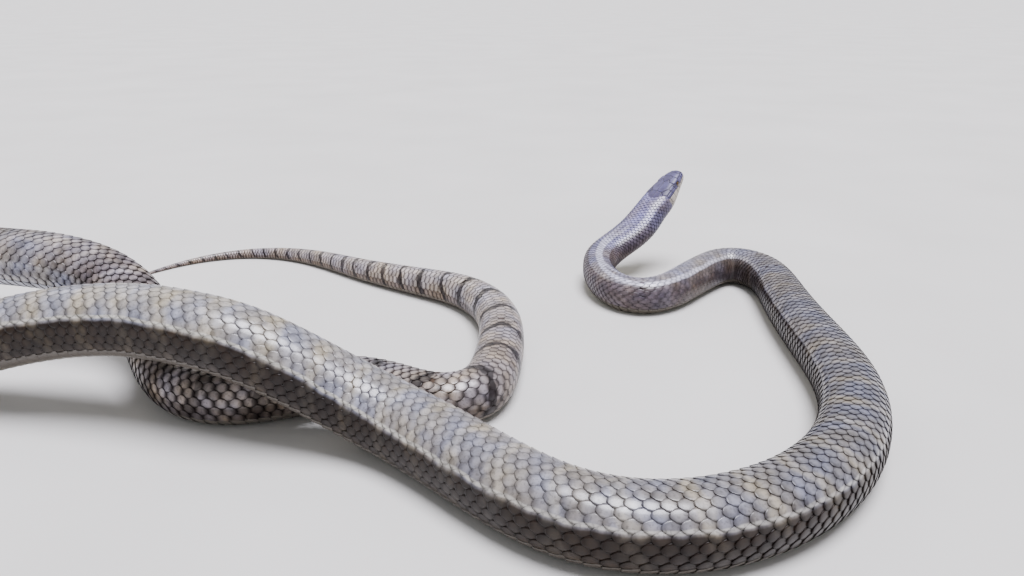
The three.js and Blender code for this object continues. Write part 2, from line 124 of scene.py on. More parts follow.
# Uniform cubic B-spline over the points; its frame stays upright, so the body never rolls.
def walkLine(points, steps):
    knots = np.array(points, float)
    knots = np.vstack([2 * knots[0] - knots[1], knots, 2 * knots[-1] - knots[-2]])
    places, slopes = [], []
    for i in range(len(knots) - 3):
        t = np.arange(steps + (i + 4 == len(knots))) / steps
        weights = np.stack([(1 - t) ** 3, 3 * t ** 3 - 6 * t ** 2 + 4, -3 * t ** 3 + 3 * t ** 2 + 3 * t + 1,
                            t ** 3], 1) / 6
        change = np.stack([-(1 - t) ** 2, 3 * t ** 2 - 4 * t, -3 * t ** 2 + 2 * t + 1, t ** 2], 1)
        places.append(weights @ knots[i:i + 4])
        slopes.append(change @ knots[i:i + 4, :3])
    places, ahead = np.vstack(places), unit(np.vstack(slopes))
    reached = np.concatenate([[0], np.cumsum(np.linalg.norm(np.diff(places[:, :3], axis=0), axis=1))])
    up = unit(np.array([0, 0, 1.0]) - ahead * ahead[:, 2:])
    centre = places[:, :3].copy()
    centre[:, 2] += places[:, 3] * bodySection["low"] * bodySection["flat"]
    return {"s": reached, "radius": places[:, 3], "centre": centre, "ahead": ahead, "up": up,
            "side": np.cross(up, ahead)}


walk = walkLine(bodyLine["points"], bodyLine["steps"])
bodyEnd = walk["s"][-1]
headEnd = headForm["length"]


def onLine(s, key):
    values = walk[key]
    if values.ndim == 1:
        return np.interp(s, walk["s"], values)
    mixed = np.stack([np.interp(s, walk["s"], values[:, k]) for k in range(3)], -1)
    return mixed if key == "centre" else unit(mixed)


# Where the sections lie: crowded on the snout, fine over the shields, wider apart behind them.
sectionForm = {"snout": [0.02, 0.1, 0.25, 0.45, 0.7, 1, 1.35, 1.75, 2.2, 2.7, 3.2, 3.7, 4.2, 4.7],
               "shieldsFrom": 5.1, "shieldStep": 0.33, "shieldsTo": 66, "napeStep": 0.75, "bodyStep": 2.5,
               "angles": 361, "points": 181}


# Half sections from crown to belly, evenly spaced by arc length, for every station along the body.
def measureSections():
    form = sectionForm
    stations = np.concatenate([
        form["snout"], np.arange(form["shieldsFrom"], form["shieldsTo"], form["shieldStep"]),
        np.arange(form["shieldsTo"], headEnd - form["napeStep"] / 2, form["napeStep"]), [headEnd],
        np.arange(headEnd + form["bodyStep"], bodyEnd - 1, form["bodyStep"]), [bodyEnd]])
    radius = onLine(stations, "radius")
    isHead = stations < headEnd
    inHead = [tableValue(headForm["rows"], np.minimum(stations, headEnd), k, np.sqrt) for k in range(1, 6)]
    high = tableValue(bodySection["neck"], stations, 2) * radius
    half = np.where(isHead, inHead[0],
                    tableValue(bodySection["neck"], stations, 1) * radius * bodySection["wide"])
    top = np.where(isHead, inHead[1], high * bodySection["top"])
    low = np.where(isHead, inHead[2], -high * bodySection["low"])
    middle = np.where(isHead, inHead[3], 0)
    roundTop = np.where(isHead, inHead[4], bodySection["roundTop"])
    mouthLevel = tableValue(headForm["mouth"], stations, 1)
    fall = np.clip((middle - mouthLevel) / np.where(isHead, middle - low, 1), 0, 1)
    mouthAngle = math.pi - np.arccos(fall ** (bodySection["roundLow"] / 2))
    angles = np.linspace(0, math.pi, form["angles"])
    sin, cos = np.sin(angles), np.cos(angles)
    fractions = np.linspace(0, 1, form["points"])
    sections, mouthAt, girth = [], [], []
    for i in range(len(stations)):
        power = np.where(cos >= 0, 2 / roundTop[i], 2 / bodySection["roundLow"])
        x = half[i] * np.abs(sin) ** power
        rise = np.abs(cos) ** power
        z = np.where(cos >= 0, middle[i] + (top[i] - middle[i]) * rise,
                     np.maximum(middle[i] + (low[i] - middle[i]) * rise, low[i] * bodySection["flat"]))
        x[[0, -1]] = 0
        way = np.concatenate([[0], np.cumsum(np.hypot(np.diff(x), np.diff(z)))])
        sections.append([np.interp(fractions * way[-1], way, x), np.interp(fractions * way[-1], way, z)])
        mouthAt.append(np.interp(mouthAngle[i], angles, way) / way[-1])
        girth.append(2 * way[-1])
    mouthAt = np.array(mouthAt)
    mouthAt[~isHead] = mouthAt[isHead][-1]
    sections = np.array(sections)
    slope = np.gradient(sections, axis=2)
    normal = np.stack([-slope[:, 1], slope[:, 0]], 1)
    normal = normal / np.linalg.norm(normal, axis=1, keepdims=True)
    normal[:, 0, [0, -1]] = 0
    normal[:, 1, 0], normal[:, 1, -1] = 1, -1
    return {"s": stations, "points": sections, "normals": normal, "mouth": mouthAt, "girth": np.array(girth)}


sections = measureSections()

# The eye nodes say where the part's frame is in the frame of these numbers.
eyeForm = {"back": 25.2, "down": 0.675, "radius": 4.5, "bulge": 2.5, "depth": 1.6, "rings": 26,
           "corners": 48, "poleGap": 0.04, "underLid": 0.25}


def mouthFraction(s):
    return np.interp(s, sections["s"], sections["mouth"])


# The way down from the crown (0) over the mouth (1) to the throat (2), as a share of the half girth.
def aroundFromDown(s, down):
    mouth, way = mouthFraction(s), np.abs(down)
    return np.sign(down) * np.where(way <= 1, way * mouth, mouth + (way - 1) * (1 - mouth))


# Points on the body's surface: s along, around -1 to 1 with 0 on the crown, height above it.
def surfaceAt(s, around, height):
    around = (np.asarray(around, float) + 1) % 2 - 1
    sign, share = np.where(around < 0, -1.0, 1.0), np.abs(around)
    i = np.interp(s, sections["s"], np.arange(len(sections["s"])))
    i0 = np.clip(i.astype(int), 0, len(sections["s"]) - 2)
    j = share * (sections["points"].shape[2] - 1)
    j0 = np.clip(j.astype(int), 0, sections["points"].shape[2] - 2)
    fi, fj = i - i0, j - j0
    mixed = []
    for table in (sections["points"], sections["normals"]):
        for axis in (0, 1):
            t = table[:, axis]
            mixed.append((t[i0, j0] * (1 - fj) + t[i0, j0 + 1] * fj) * (1 - fi)
                         + (t[i0 + 1, j0] * (1 - fj) + t[i0 + 1, j0 + 1] * fj) * fi)
    x, z, nx, nz = mixed
    x, z = sign * (x + nx * height), z + nz * height
    return onLine(s, "centre") + onLine(s, "side") * x[..., None] + onLine(s, "up") * z[..., None]


def headPatch(back, down, reach=0.15, turn=0.01):
    at = surfaceAt(np.array([back]), aroundFromDown(np.array([back]), np.array([down])), 0)[0]
    ahead = [surfaceAt(np.array([b]), aroundFromDown(np.array([b]), np.array([down])), 0)[0]
             for b in (back - reach, back + reach)]
    across = [surfaceAt(np.array([back]), aroundFromDown(np.array([back]), np.array([d])), 0)[0]
              for d in (down - turn, down + turn)]
    along, over = unit(ahead[1] - ahead[0]), unit(across[1] - across[0])
    return at, unit(np.cross(along, over)), along


eyePlaces = {}
for eyeName, eyeSide in (("eye_left", -1), ("eye_right", 1)):
    eyeAt, eyeOut, eyeAlong = headPatch(eyeForm["back"], eyeSide * eyeForm["down"])
    eyePlaces[eyeName] = {"at": eyeAt - eyeOut * eyeForm["depth"], "out": eyeOut, "along": eyeAlong}
boxMiddles = [np.array((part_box(name)[0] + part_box(name)[1]) / 2) / mm for name in eyePlaces]
offset = np.mean(boxMiddles, 0) - np.mean([place["at"] for place in eyePlaces.values()], 0)
offset[2] = 0
print("line of", round(bodyEnd), "mm, moved by", np.round(offset, 2))


def toMetres(points):
    return (points + offset) * mm


# Camera at the photograph's viewing angle.
cameraForm = {"height": 0.4, "tilt": 70, "lens": 29.25, "sensor": 36}
cameraData = bpy.data.cameras.new("camera")
cameraData.lens = cameraForm["lens"]
cameraData.sensor_width = cameraForm["sensor"]
cameraObject = bpy.data.objects.new("camera", cameraData)
cameraObject.location = (offset[0] * mm, offset[1] * mm, cameraForm["height"])
cameraObject.rotation_euler = (math.radians(cameraForm["tilt"]), 0, 0)
bpy.context.scene.collection.objects.link(cameraObject)
bpy.context.scene.camera = cameraObject


# Thickness of the coat of scales, thin on the head and the tail tip, and how much of it a plate fills.
coatForm = {"least": 0.1, "perRadius": 0.024, "headDepth": 0.2, "headFrom": 50, "headTo": 84, "filled": 0.96}


def coatDepth(s):
    full = coatForm["least"] + coatForm["perRadius"] * onLine(s, "radius")
    f = ease((s - coatForm["headFrom"]) / (coatForm["headTo"] - coatForm["headFrom"]))
    return coatForm["headDepth"] * (1 - f) + full * f


# The skin's own unwrap: the head on one strip, the rest of the body on strips above it. Plates lie on
# the same strips, each one as a small square.
unwrapForm = {"headStrip": 0.22, "strips": 7, "margin": 0.006, "headLast": 96, "plate": 0.003,
              "seamNear": 0.9, "seamOn": 0.999, "stripIn": 0.01}


def unwrap(s, around, strip):
    span = (bodyEnd - unwrapForm["headLast"]) / unwrapForm["strips"]
    head = strip < 0
    tall = (1 - unwrapForm["headStrip"]) / unwrapForm["strips"]
    start = np.where(head, 0, unwrapForm["headLast"] + strip * span)
    long = np.where(head, unwrapForm["headLast"], span)
    edge = unwrapForm["margin"]
    u = edge + (1 - 2 * edge) * np.clip((s - start) / long, 0, 1)
    low = np.where(head, 0, unwrapForm["headStrip"] + strip * tall)
    high = np.where(head, unwrapForm["headStrip"], tall)
    return np.stack([u, low + edge + (high - 2 * edge) * (around + 1) / 2], -1)


def unwrapStrip(s):
    span = (bodyEnd - unwrapForm["headLast"]) / unwrapForm["strips"]
    strip = np.floor((s - unwrapForm["headLast"]) / span)
    return np.clip(strip, -1, unwrapForm["strips"] - 1)


# Crossbands: how far apart they are along the body, in millimetres, and how far they slant back.
bandForm = {"spacing": [[0, 30], [300, 38], [900, 47], [2600, 45], [3100, 50], [3380, 60], [3600, 56],
                        [3750, 34], [3950, 24], [4300, 15]], "slant": 0.5, "steps": 2000}
bandSteps = np.linspace(0, bodyEnd, bandForm["steps"])
bandCount = np.concatenate([[0], np.cumsum(np.diff(bandSteps) / tableValue(
    bandForm["spacing"], (bandSteps[1:] + bandSteps[:-1]) / 2, 1))])


def bandPhase(s, around):
    return np.interp(s, bandSteps, bandCount) + bandForm["slant"] * np.abs(around)


def addAttribute(mesh, name, values, kind="FLOAT"):
    attribute = mesh.attributes.new(name, kind, "POINT")
    attribute.data.foreach_set("value" if kind == "FLOAT" else "vector", np.ascontiguousarray(values).ravel())


def newMesh(name, points, faces):
    mesh = bpy.data.meshes.new(name)
    mesh.from_pydata(points, [], faces)
    mesh.update()
    return mesh


def cornerPoints(mesh):
    corners = np.zeros(len(mesh.loops), np.int32)
    mesh.loops.foreach_get("vertex_index", corners)
    return corners


def setUnwrap(mesh, uv):
    mesh.uv_layers.new(name="OFBake").data.foreach_set("uv", uv.ravel())


def addMarks(mesh, s, around):
    around = (around + 1) % 2 - 1
    addAttribute(mesh, "along", s / bodyEnd)
    addAttribute(mesh, "around", np.abs(around))
    addAttribute(mesh, "band", bandPhase(s, around))


def newObject(name, mesh, material):
    piece = bpy.data.objects.new(name, mesh)
    bpy.context.scene.collection.objects.link(piece)
    mesh.materials.clear()
    mesh.materials.append(material)
    mesh.polygons.foreach_set("use_smooth", np.ones(len(mesh.polygons), bool))
    mesh.polygons.foreach_set("material_index", np.zeros(len(mesh.polygons), np.int32))
    return piece


# sRGB hex to the linear colour that the shader wants
def colour(code):
    values = [int(code[i:i + 2], 16) / 255 for i in (1, 3, 5)]
    return [v / 12.92 if v <= 0.04045 else ((v + 0.055) / 1.055) ** 2.4 for v in values] + [1]


# Adds a node with its settings and inputs, and gives one of its outputs. An input is a value, a hex
# colour or the socket that feeds it, and a ramp's stops are places with a hex colour or a grey level.
def addNode(tree, kind, settings=None, inputs=(), output=0):
    node = tree.nodes.new(kind)
    for name, value in (settings or {}).items():
        if name == "stops":
            elements = node.color_ramp.elements
            for k, (at, shade) in enumerate(value):
                element = elements[k] if k < 2 else elements.new(at)
                element.position = at
                element.color = colour(shade) if isinstance(shade, str) else [shade] * 3 + [1]
        elif name == "smooth":
            node.color_ramp.interpolation = value
        else:
            setattr(node, name, value)
    for name, value in inputs.items() if isinstance(inputs, dict) else enumerate(inputs):
        if isinstance(value, bpy.types.NodeSocket):
            tree.links.new(value, node.inputs[name])
        else:
            node.inputs[name].default_value = colour(value) if str(value).startswith("#") else value
    return node.outputs[output] if len(node.outputs) else None


# Lays a shade over what is painted, where a ramp of some measure says, and as much as the amount says.
def layOver(tree, painted, shade, measure, stops, amount=None, smooth="EASE", blend="MIX"):
    part = addNode(tree, "ShaderNodeValToRGB", {"stops": stops, "smooth": smooth}, [measure])
    if amount is not None:
        part = addNode(tree, "ShaderNodeMath", {"operation": "MULTIPLY"}, [part, amount])
    return addNode(tree, "ShaderNodeMix", {"data_type": "RGBA", "blend_type": blend},
                   {0: part, 6: painted, 7: shade}, 2)


# What every skin and scale of the snake shares: its colours along and around the body.
coatPaint = {
    # what changes from the snout (0) to the tail tip (1)
    "along": {
        # the back's own grey-brown, lilac over head and neck as a painted reflection of the sky, and lighter
        # than the flanks partly as painted light from above
        "back": [(0, "#9c97c9"), (0.025, "#a29dd2"), (0.04, "#a9a5c6"), (0.055, "#aeabbf"),
                 (0.072, "#b4b1c0"), (0.1, "#a4a2ac"), (0.17, "#908f98"), (0.26, "#919197"),
                 (0.36, "#aeadb0"), (0.42, "#c2c2c3"), (0.55, "#b9b7ba"), (0.65, "#b3b0b4"),
                 (0.67, "#968b8d"), (0.7, "#a19895"), (0.76, "#b1a9a6"), (0.8, "#aba29f"),
                 (0.83, "#c8bfba"), (0.86, "#d6cfcb"), (1, "#cdc0ba")],
        # darker flanks, partly the animal's own colour and partly painted shade; near white from 0.53 to 0.66
        # of the way, a painted sheen of the sky over that stretch
        "flank": [(0, "#8f8aa8"), (0.021, "#827c94"), (0.034, "#756a72"), (0.075, "#7b7078"),
                  (0.1, "#6c615f"), (0.16, "#453e40"), (0.3, "#30251d"), (0.47, "#30251d"),
                  (0.53, "#a8a4a8"), (0.63, "#f0f2ff"), (0.66, "#e6e8f6"), (0.7, "#6f665f"),
                  (0.76, "#6d625b"), (0.82, "#94877f"), (1, "#a39388")],
        # low sides: cream on the throat, then dark from 0.15 to 0.47 of the way, mostly painted shade, and
        # near white from 0.53 to 0.66 as painted sheen
        "low": [(0, "#b9b09a"), (0.03, "#8f8474"), (0.07, "#6c625c"), (0.15, "#4b4138"),
                (0.47, "#453a30"), (0.53, "#c9c8d0"), (0.63, "#f2f4ff"), (0.66, "#e6e8f6"),
                (0.7, "#7f766e"), (1, "#8d8276")],
        # how far up the sides the flank's colour reaches
        "flankReach": [(0, 0.5), (0.03, 0.75), (0.045, 1.0), (0.11, 1.0), (0.16, 0.6), (0.3, 0.5),
                       (0.46, 0.5), (0.55, 0.0), (0.64, 0.3), (0.75, 0.1), (1, 0.1)],
        # the pale line; bluish white on the neck, where it is a painted highlight of the sky along the crown
        "line": [(0, "#eeecff"), (0.07, "#eae8ff"), (0.14, "#d8d3d6"), (0.3, "#dcd7ce"),
                 (0.5, "#e4e0d4"), (1, "#b8ad9f")],
        "lineAmount": [(0, 0.0), (0.026, 0.0), (0.044, 0.95), (0.075, 0.95), (0.1, 0.7), (0.13, 0.35),
                       (0.22, 0.3), (0.32, 0.65), (0.36, 0.8), (0.47, 0.8), (0.55, 0.0), (1, 0.0)],
        "lineWidth": [(0, 0.08), (0.058, 0.08), (0.08, 0.08), (0.1, 0.065), (0.15, 0.032),
                      (0.4, 0.022), (1, 0.022)],
        # the line starts as one stripe on the crown of the neck, a painted highlight there, and parts into
        # two
        "lineAt": [(0, 0.16), (0.058, 0.17), (0.08, 0.32), (0.1, 0.352), (1, 0.352)],
        "band": [(0, "#b4afc0"), (0.1, "#c4bec0"), (0.25, "#cdc7b4"), (0.45, "#d6ceb4"),
                 (0.6, "#d8cfc9"), (0.85, "#ddd0c6"), (1, "#d4c4b6")],
        "bandAmount": [(0, 0.0), (0.02, 0.1), (0.06, 0.3), (0.2, 0.45), (0.42, 0.5), (0.55, 0.65),
                       (0.8, 0.45), (1, 0.3)],
        # share of the crossbands that shows on the flanks
        "bandFlank": [(0, 0.3), (0.12, 0.3), (0.2, 0.1), (0.47, 0.1), (0.55, 0.3), (1, 0.4)],
        "darkAmount": [(0, 0.0), (0.5, 0.12), (0.7, 0.4), (0.77, 0.95), (0.84, 0.95), (1, 0.85)],
    },
    "reachAmount": 0.3,
    # soft edges by the way round from the crown, from 0 to 1
    "flankPart": [(0.36, 0.0), (0.4, 1.0)], "lowPart": [(0.6, 0.0), (0.7, 1.0)],
    "bandSides": [(0.34, 0.0), (0.42, 1.0)],
    # pale and dark bands by the wave along the body, and the line by how many widths away it is
    "bandPart": [(0.3, 0.0), (0.42, 1.0)], "darkPart": [(0.06, 1.0), (0.13, 0.0)],
    "linePart": [(0.35, 1.0), (0.9, 0.0)],
    "darkBand": "#2c2326",
    "bandWander": 0.62, "edgeWander": 0.05, "wanderNoise": {"Scale": 40, "Detail": 3.0},
    "mottle": [(0.34, 0.6), (0.6, 1.0)],
    "mottleNoise": {"Scale": 95, "Detail": 5.0, "Roughness": 0.62},
    "tint": [(0.36, "#e9ebfe"), (0.64, "#fbf0de")], "tintNoise": {"Scale": 30, "Detail": 2.0},
}


def paintCoat(tree, place):
    along, around, phase = [addNode(tree, "ShaderNodeAttribute", {"attribute_name": name}, output="Fac")
                            for name in ("along", "around", "band")]
    here = {name: addNode(tree, "ShaderNodeValToRGB", {"stops": stops}, [along])
            for name, stops in coatPaint["along"].items()}
    wander, mottle, tint = [addNode(tree, "ShaderNodeTexNoise", inputs={"Vector": place, **coatPaint[name]})
                            for name in ("wanderNoise", "mottleNoise", "tintNoise")]
    wander = addNode(tree, "ShaderNodeMath", {"operation": "SUBTRACT"}, [wander, 0.5])
    side = addNode(tree, "ShaderNodeMath", {"operation": "SUBTRACT"}, [here["flankReach"], 0.5])
    side = addNode(tree, "ShaderNodeMath", {"operation": "MULTIPLY_ADD"},
                   [side, coatPaint["reachAmount"], around])
    side = addNode(tree, "ShaderNodeMath", {"operation": "MULTIPLY_ADD"},
                   [wander, coatPaint["edgeWander"], side])
    # the flanks' colour over the back, darker partly as painted shade, then the low sides' colour with
    # painted shade and, over one stretch, painted sheen
    painted = layOver(tree, here["back"], here["flank"], side, coatPaint["flankPart"])
    painted = layOver(tree, painted, here["low"], around, coatPaint["lowPart"])
    # pale crossbands over the whole body, dark ones between them towards the tail
    wave = addNode(tree, "ShaderNodeMath", {"operation": "MULTIPLY_ADD"},
                   [wander, coatPaint["bandWander"], phase])
    wave = addNode(tree, "ShaderNodeMath", {"operation": "PINGPONG"}, [wave, 0.5])
    amount = layOver(tree, (1, 1, 1, 1), here["bandFlank"], side, coatPaint["bandSides"])
    amount = addNode(tree, "ShaderNodeMath", {"operation": "MULTIPLY"}, [here["bandAmount"], amount])
    painted = layOver(tree, painted, here["band"], wave, coatPaint["bandPart"], amount)
    painted = layOver(tree, painted, coatPaint["darkBand"], wave, coatPaint["darkPart"], here["darkAmount"])
    # darker mottles, then a cooler or warmer tint in wider clouds
    for name, cloud in (("mottle", mottle), ("tint", tint)):
        shade = addNode(tree, "ShaderNodeValToRGB", {"stops": coatPaint[name]}, [cloud])
        painted = addNode(tree, "ShaderNodeMix", {"data_type": "RGBA", "blend_type": "MULTIPLY"},
                          {0: 1.0, 6: painted, 7: shade}, 2)
    # the pale line that parts back from the flanks, and on the neck a painted highlight along the crown
    away = addNode(tree, "ShaderNodeMath", {"operation": "SUBTRACT"}, [side, here["lineAt"]])
    away = addNode(tree, "ShaderNodeMath", {"operation": "ABSOLUTE"}, [away])
    away = addNode(tree, "ShaderNodeMath", {"operation": "DIVIDE"}, [away, here["lineWidth"]])
    return layOver(tree, painted, here["line"], away, coatPaint["linePart"], here["lineAmount"])


# Fine grain for the roughness and the relief, with pores where the paint has them.
def addGrain(tree, place, paint, **below):
    grain = addNode(tree, "ShaderNodeTexNoise", inputs={"Vector": place, **paint["grainNoise"]})
    least, most = paint["rough"]
    rough = addNode(tree, "ShaderNodeMapRange", inputs={"Value": grain, "To Min": least, "To Max": most})
    if "pores" in paint:
        pores = addNode(tree, "ShaderNodeTexVoronoi", inputs={"Vector": place, "Scale": paint["pores"]})
        pores = addNode(tree, "ShaderNodeMath", {"operation": "MULTIPLY"}, [pores, paint["poreAmount"]])
        grain = addNode(tree, "ShaderNodeMath", {"operation": "ADD"}, [grain, pores])
    bump = addNode(tree, "ShaderNodeBump", inputs={
        "Height": grain, "Strength": paint["bump"], "Distance": paint["bumpHeight"], **below})
    return {"Roughness": rough, "Normal": bump}


def startMaterial(name):
    material = bpy.data.materials.new(name)
    material.use_nodes = True
    tree = material.node_tree
    tree.nodes.clear()
    return material, tree, addNode(tree, "ShaderNodeTexCoord", output="Object")


def endMaterial(tree, inputs):
    shader = addNode(tree, "ShaderNodeBsdfPrincipled", inputs=inputs)
    addNode(tree, "ShaderNodeOutputMaterial", inputs={"Surface": shader})


# Smooth keratin scales of the back and flanks: thin hard plates with a satin gloss, dark at the edges.
scalePaint = {
    "variety": 0.34,
    # pale streak down the middle of a scale, and dark flecks over it
    "streak": "#d9d5d2", "streakPart": [(0.05, 1.0), (0.6, 0.0)], "streakAmount": 0.3,
    "fleckPart": [(0.54, 0.0), (0.66, 1.0)], "fleckAmount": 0.35, "fleckNoise": {"Scale": 420, "Detail": 3.0},
    # dark rim and root by the place on the scale, and how dark they are from snout to tail tip
    "edge": "#1f1a1a", "rimPart": [(0.6, 0.0), (0.92, 1.0)], "rootPart": [(0.08, 1.0), (0.46, 0.0)],
    # edges less dark from 0.64 to 0.655 of the way, where the lower flank has a painted sheen
    "edgeAmount": [(0, 0.22), (0.06, 0.34), (0.2, 0.56), (0.38, 0.46), (0.46, 0.5), (0.52, 0.85),
                   (0.6, 0.8), (0.64, 0.4), (0.655, 0.45), (0.68, 0.88), (0.8, 0.8), (1, 0.7)],
    # the back shines, the flanks are rubbed dull but for one stretch
    "shine": [(0, 0.8), (0.24, 0.75), (0.42, 0.2), (1, 0.15)],
    "flankShine": [(0.6, 0.0), (0.63, 0.8), (0.66, 0.8), (0.69, 0.0)],
    "coatAmount": 0.6, "coatRough": 0.16, "rough": (0.26, 0.4),
    "grainNoise": {"Scale": 2200, "Detail": 2.0}, "bump": 0.25, "bumpHeight": 0.0001,
}


def makeScaleMaterial():
    material, tree, place = startMaterial("smooth keratin scale")
    along, around = [addNode(tree, "ShaderNodeAttribute", {"attribute_name": name}, output="Fac")
                     for name in ("along", "around")]
    spot = addNode(tree, "ShaderNodeAttribute", {"attribute_name": "spot"}, output="Vector")
    across, length, chance = addNode(tree, "ShaderNodeSeparateXYZ", inputs=[spot]).node.outputs
    across = addNode(tree, "ShaderNodeMath", {"operation": "ABSOLUTE"}, [across])
    # each scale a little lighter or darker than its neighbours
    shade = addNode(tree, "ShaderNodeMapRange", inputs={
        "Value": chance, "To Min": 1 - scalePaint["variety"], "To Max": 1.0})
    painted = addNode(tree, "ShaderNodeMix", {"data_type": "RGBA", "blend_type": "MULTIPLY"},
                      {0: 1.0, 6: paintCoat(tree, place), 7: shade}, 2)
    painted = layOver(tree, painted, scalePaint["streak"], across, scalePaint["streakPart"],
                      scalePaint["streakAmount"], blend="SOFT_LIGHT")
    fleck = addNode(tree, "ShaderNodeTexNoise", inputs={"Vector": place, **scalePaint["fleckNoise"]})
    painted = layOver(tree, painted, scalePaint["edge"], fleck, scalePaint["fleckPart"],
                      scalePaint["fleckAmount"], "LINEAR")
    rim = addNode(tree, "ShaderNodeMath", {"operation": "MAXIMUM"}, [across, length])
    rim, root = [addNode(tree, "ShaderNodeValToRGB", {"stops": scalePaint[name], "smooth": "EASE"}, [at])
                 for name, at in (("rimPart", rim), ("rootPart", length))]
    edgeAmount, flankShine, shine = [addNode(tree, "ShaderNodeValToRGB", {"stops": scalePaint[name]}, [at])
                                     for name, at in (("edgeAmount", along), ("flankShine", along),
                                                      ("shine", around))]
    edge = addNode(tree, "ShaderNodeMath", {"operation": "MAXIMUM"}, [rim, root])
    edge = addNode(tree, "ShaderNodeMath", {"operation": "MULTIPLY"}, [edge, edgeAmount])
    painted = addNode(tree, "ShaderNodeMix", {"data_type": "RGBA"},
                      {0: edge, 6: painted, 7: scalePaint["edge"]}, 2)
    shine = addNode(tree, "ShaderNodeMath", {"operation": "MAXIMUM"}, [shine, flankShine])
    plain = addNode(tree, "ShaderNodeMath", {"operation": "SUBTRACT"}, [1.0, edge])
    shine = addNode(tree, "ShaderNodeMath", {"operation": "MULTIPLY"}, [shine, plain])
    gloss = addNode(tree, "ShaderNodeMath", {"operation": "MULTIPLY"}, [shine, scalePaint["coatAmount"]])
    endMaterial(tree, {"Base Color": painted, "IOR": 1.5, "Specular IOR Level": shine, "Coat Weight": gloss,
                       "Coat Roughness": scalePaint["coatRough"], **addGrain(tree, place, scalePaint)})
    return material


# Broad belly scutes: the same keratin, paler and polished by the ground, with a clear darker rear edge.
scutePaint = {
    # the scutes' base colour, near white from 0.632 to 0.662 of the way as a painted sheen
    "base": [(0, "#cbc3ac"), (0.05, "#c3bba4"), (0.14, "#8a8377"), (0.4, "#7d776c"), (0.6, "#7d776c"),
             (0.632, "#eceefa"), (0.662, "#e4e6f2"), (0.7, "#857d73"), (1, "#978c80")],
    "blotch": "#5c564d", "blotchPart": [(0.5, 0.0), (0.68, 1.0)], "blotchAmount": 0.55,
    "blotchNoise": {"Scale": 90.0, "Detail": 4.0},
    # the ends take the flanks' darker colour behind the throat, partly painted shade, by the way round and
    # the way along; they stay pale over the stretch of painted sheen
    "ends": "#4a423b", "endsPart": [(0.74, 1.0), (0.86, 0.0)],
    "endsAmount": [(0.02, 0.0), (0.06, 0.9), (0.6, 0.9), (0.632, 0.0), (0.662, 0.0), (0.7, 0.7), (0.8, 0.5)],
    "edge": "#3f3a34", "edgePart": [(0.8, 0.0), (0.97, 1.0)], "edgeAmount": 0.7,
    "coatAmount": 0.15, "coatRough": 0.25, "rough": (0.3, 0.46),
    "grainNoise": {"Scale": 900.0, "Detail": 3.0}, "bump": 0.2, "bumpHeight": 0.0001,
}


def makeScuteMaterial():
    material, tree, place = startMaterial("polished belly scute")
    along, around = [addNode(tree, "ShaderNodeAttribute", {"attribute_name": name}, output="Fac")
                     for name in ("along", "around")]
    spot = addNode(tree, "ShaderNodeAttribute", {"attribute_name": "spot"}, output="Vector")
    length = addNode(tree, "ShaderNodeSeparateXYZ", inputs=[spot], output="Y")
    base, endsAmount = [addNode(tree, "ShaderNodeValToRGB", {"stops": scutePaint[name]}, [along])
                        for name in ("base", "endsAmount")]
    blotch = addNode(tree, "ShaderNodeTexNoise", inputs={"Vector": place, **scutePaint["blotchNoise"]})
    painted = layOver(tree, base, scutePaint["blotch"], blotch, scutePaint["blotchPart"],
                      scutePaint["blotchAmount"], "LINEAR")
    painted = layOver(tree, painted, scutePaint["ends"], around, scutePaint["endsPart"], endsAmount)
    painted = layOver(tree, painted, scutePaint["edge"], length, scutePaint["edgePart"],
                      scutePaint["edgeAmount"])
    endMaterial(tree, {"Base Color": painted, "IOR": 1.5, "Coat Weight": scutePaint["coatAmount"],
                       "Coat Roughness": scutePaint["coatRough"], **addGrain(tree, place, scutePaint)})
    return material


# Skin: on the head it is drawn tight into glossy shields with dark seams, pale on lips and throat,
# and under the scales it is soft, dark and matt.
skinPaint = {
    # lilac shields with darker clouds; the lilac is a painted reflection of the sky
    "shield": "#706c98", "dark": "#403b5a", "darkPart": [(0.4, 1.0), (0.6, 0.0)], "darkAmount": 0.62,
    "cloudNoise": {"Scale": 95.0, "Detail": 6.0, "Roughness": 0.68},
    "speck": "#574b52", "speckPart": [(0.52, 0.0), (0.68, 1.0)], "speckAmount": 0.4,
    "speckNoise": {"Scale": 330.0, "Detail": 4.0},
    # lips and throat, which the crown's clouds stain as well
    "lip": "#aaa1a6", "throat": "#c9c0aa", "lipPart": [(0.12, 0.0), (0.5, 1.0)],
    "stain": "#8d827c", "stainAmount": 0.434,
    # by the distance from a seam: its dark paint and its groove
    "seam": "#292427", "seamPart": [(0.1, 1.0), (0.205, 0.0)], "seamAmount": 0.85,
    "groovePart": [(0.1, 0.0), (0.23575, 1.0)], "grooveDepth": 0.0003,
    # from snout to tail tip: where scales cover the skin, and where the tail's cone is bare again
    "covered": [(0.0, 0.0), (0.0145, 0.0), (0.0165, 1.0)], "cone": [(0.9982, 1.0), (0.9987, 0.0)],
    "under": "#7c736e", "shine": 0.5, "coveredShine": -0.45, "coatAmount": 0.24, "coatRough": 0.25,
    "rough": (0.32, 0.5), "grainNoise": {"Scale": 1500.0, "Detail": 3.0}, "pores": 1100.0,
    "poreAmount": 0.4, "bump": 0.4, "bumpHeight": 0.0001,
}


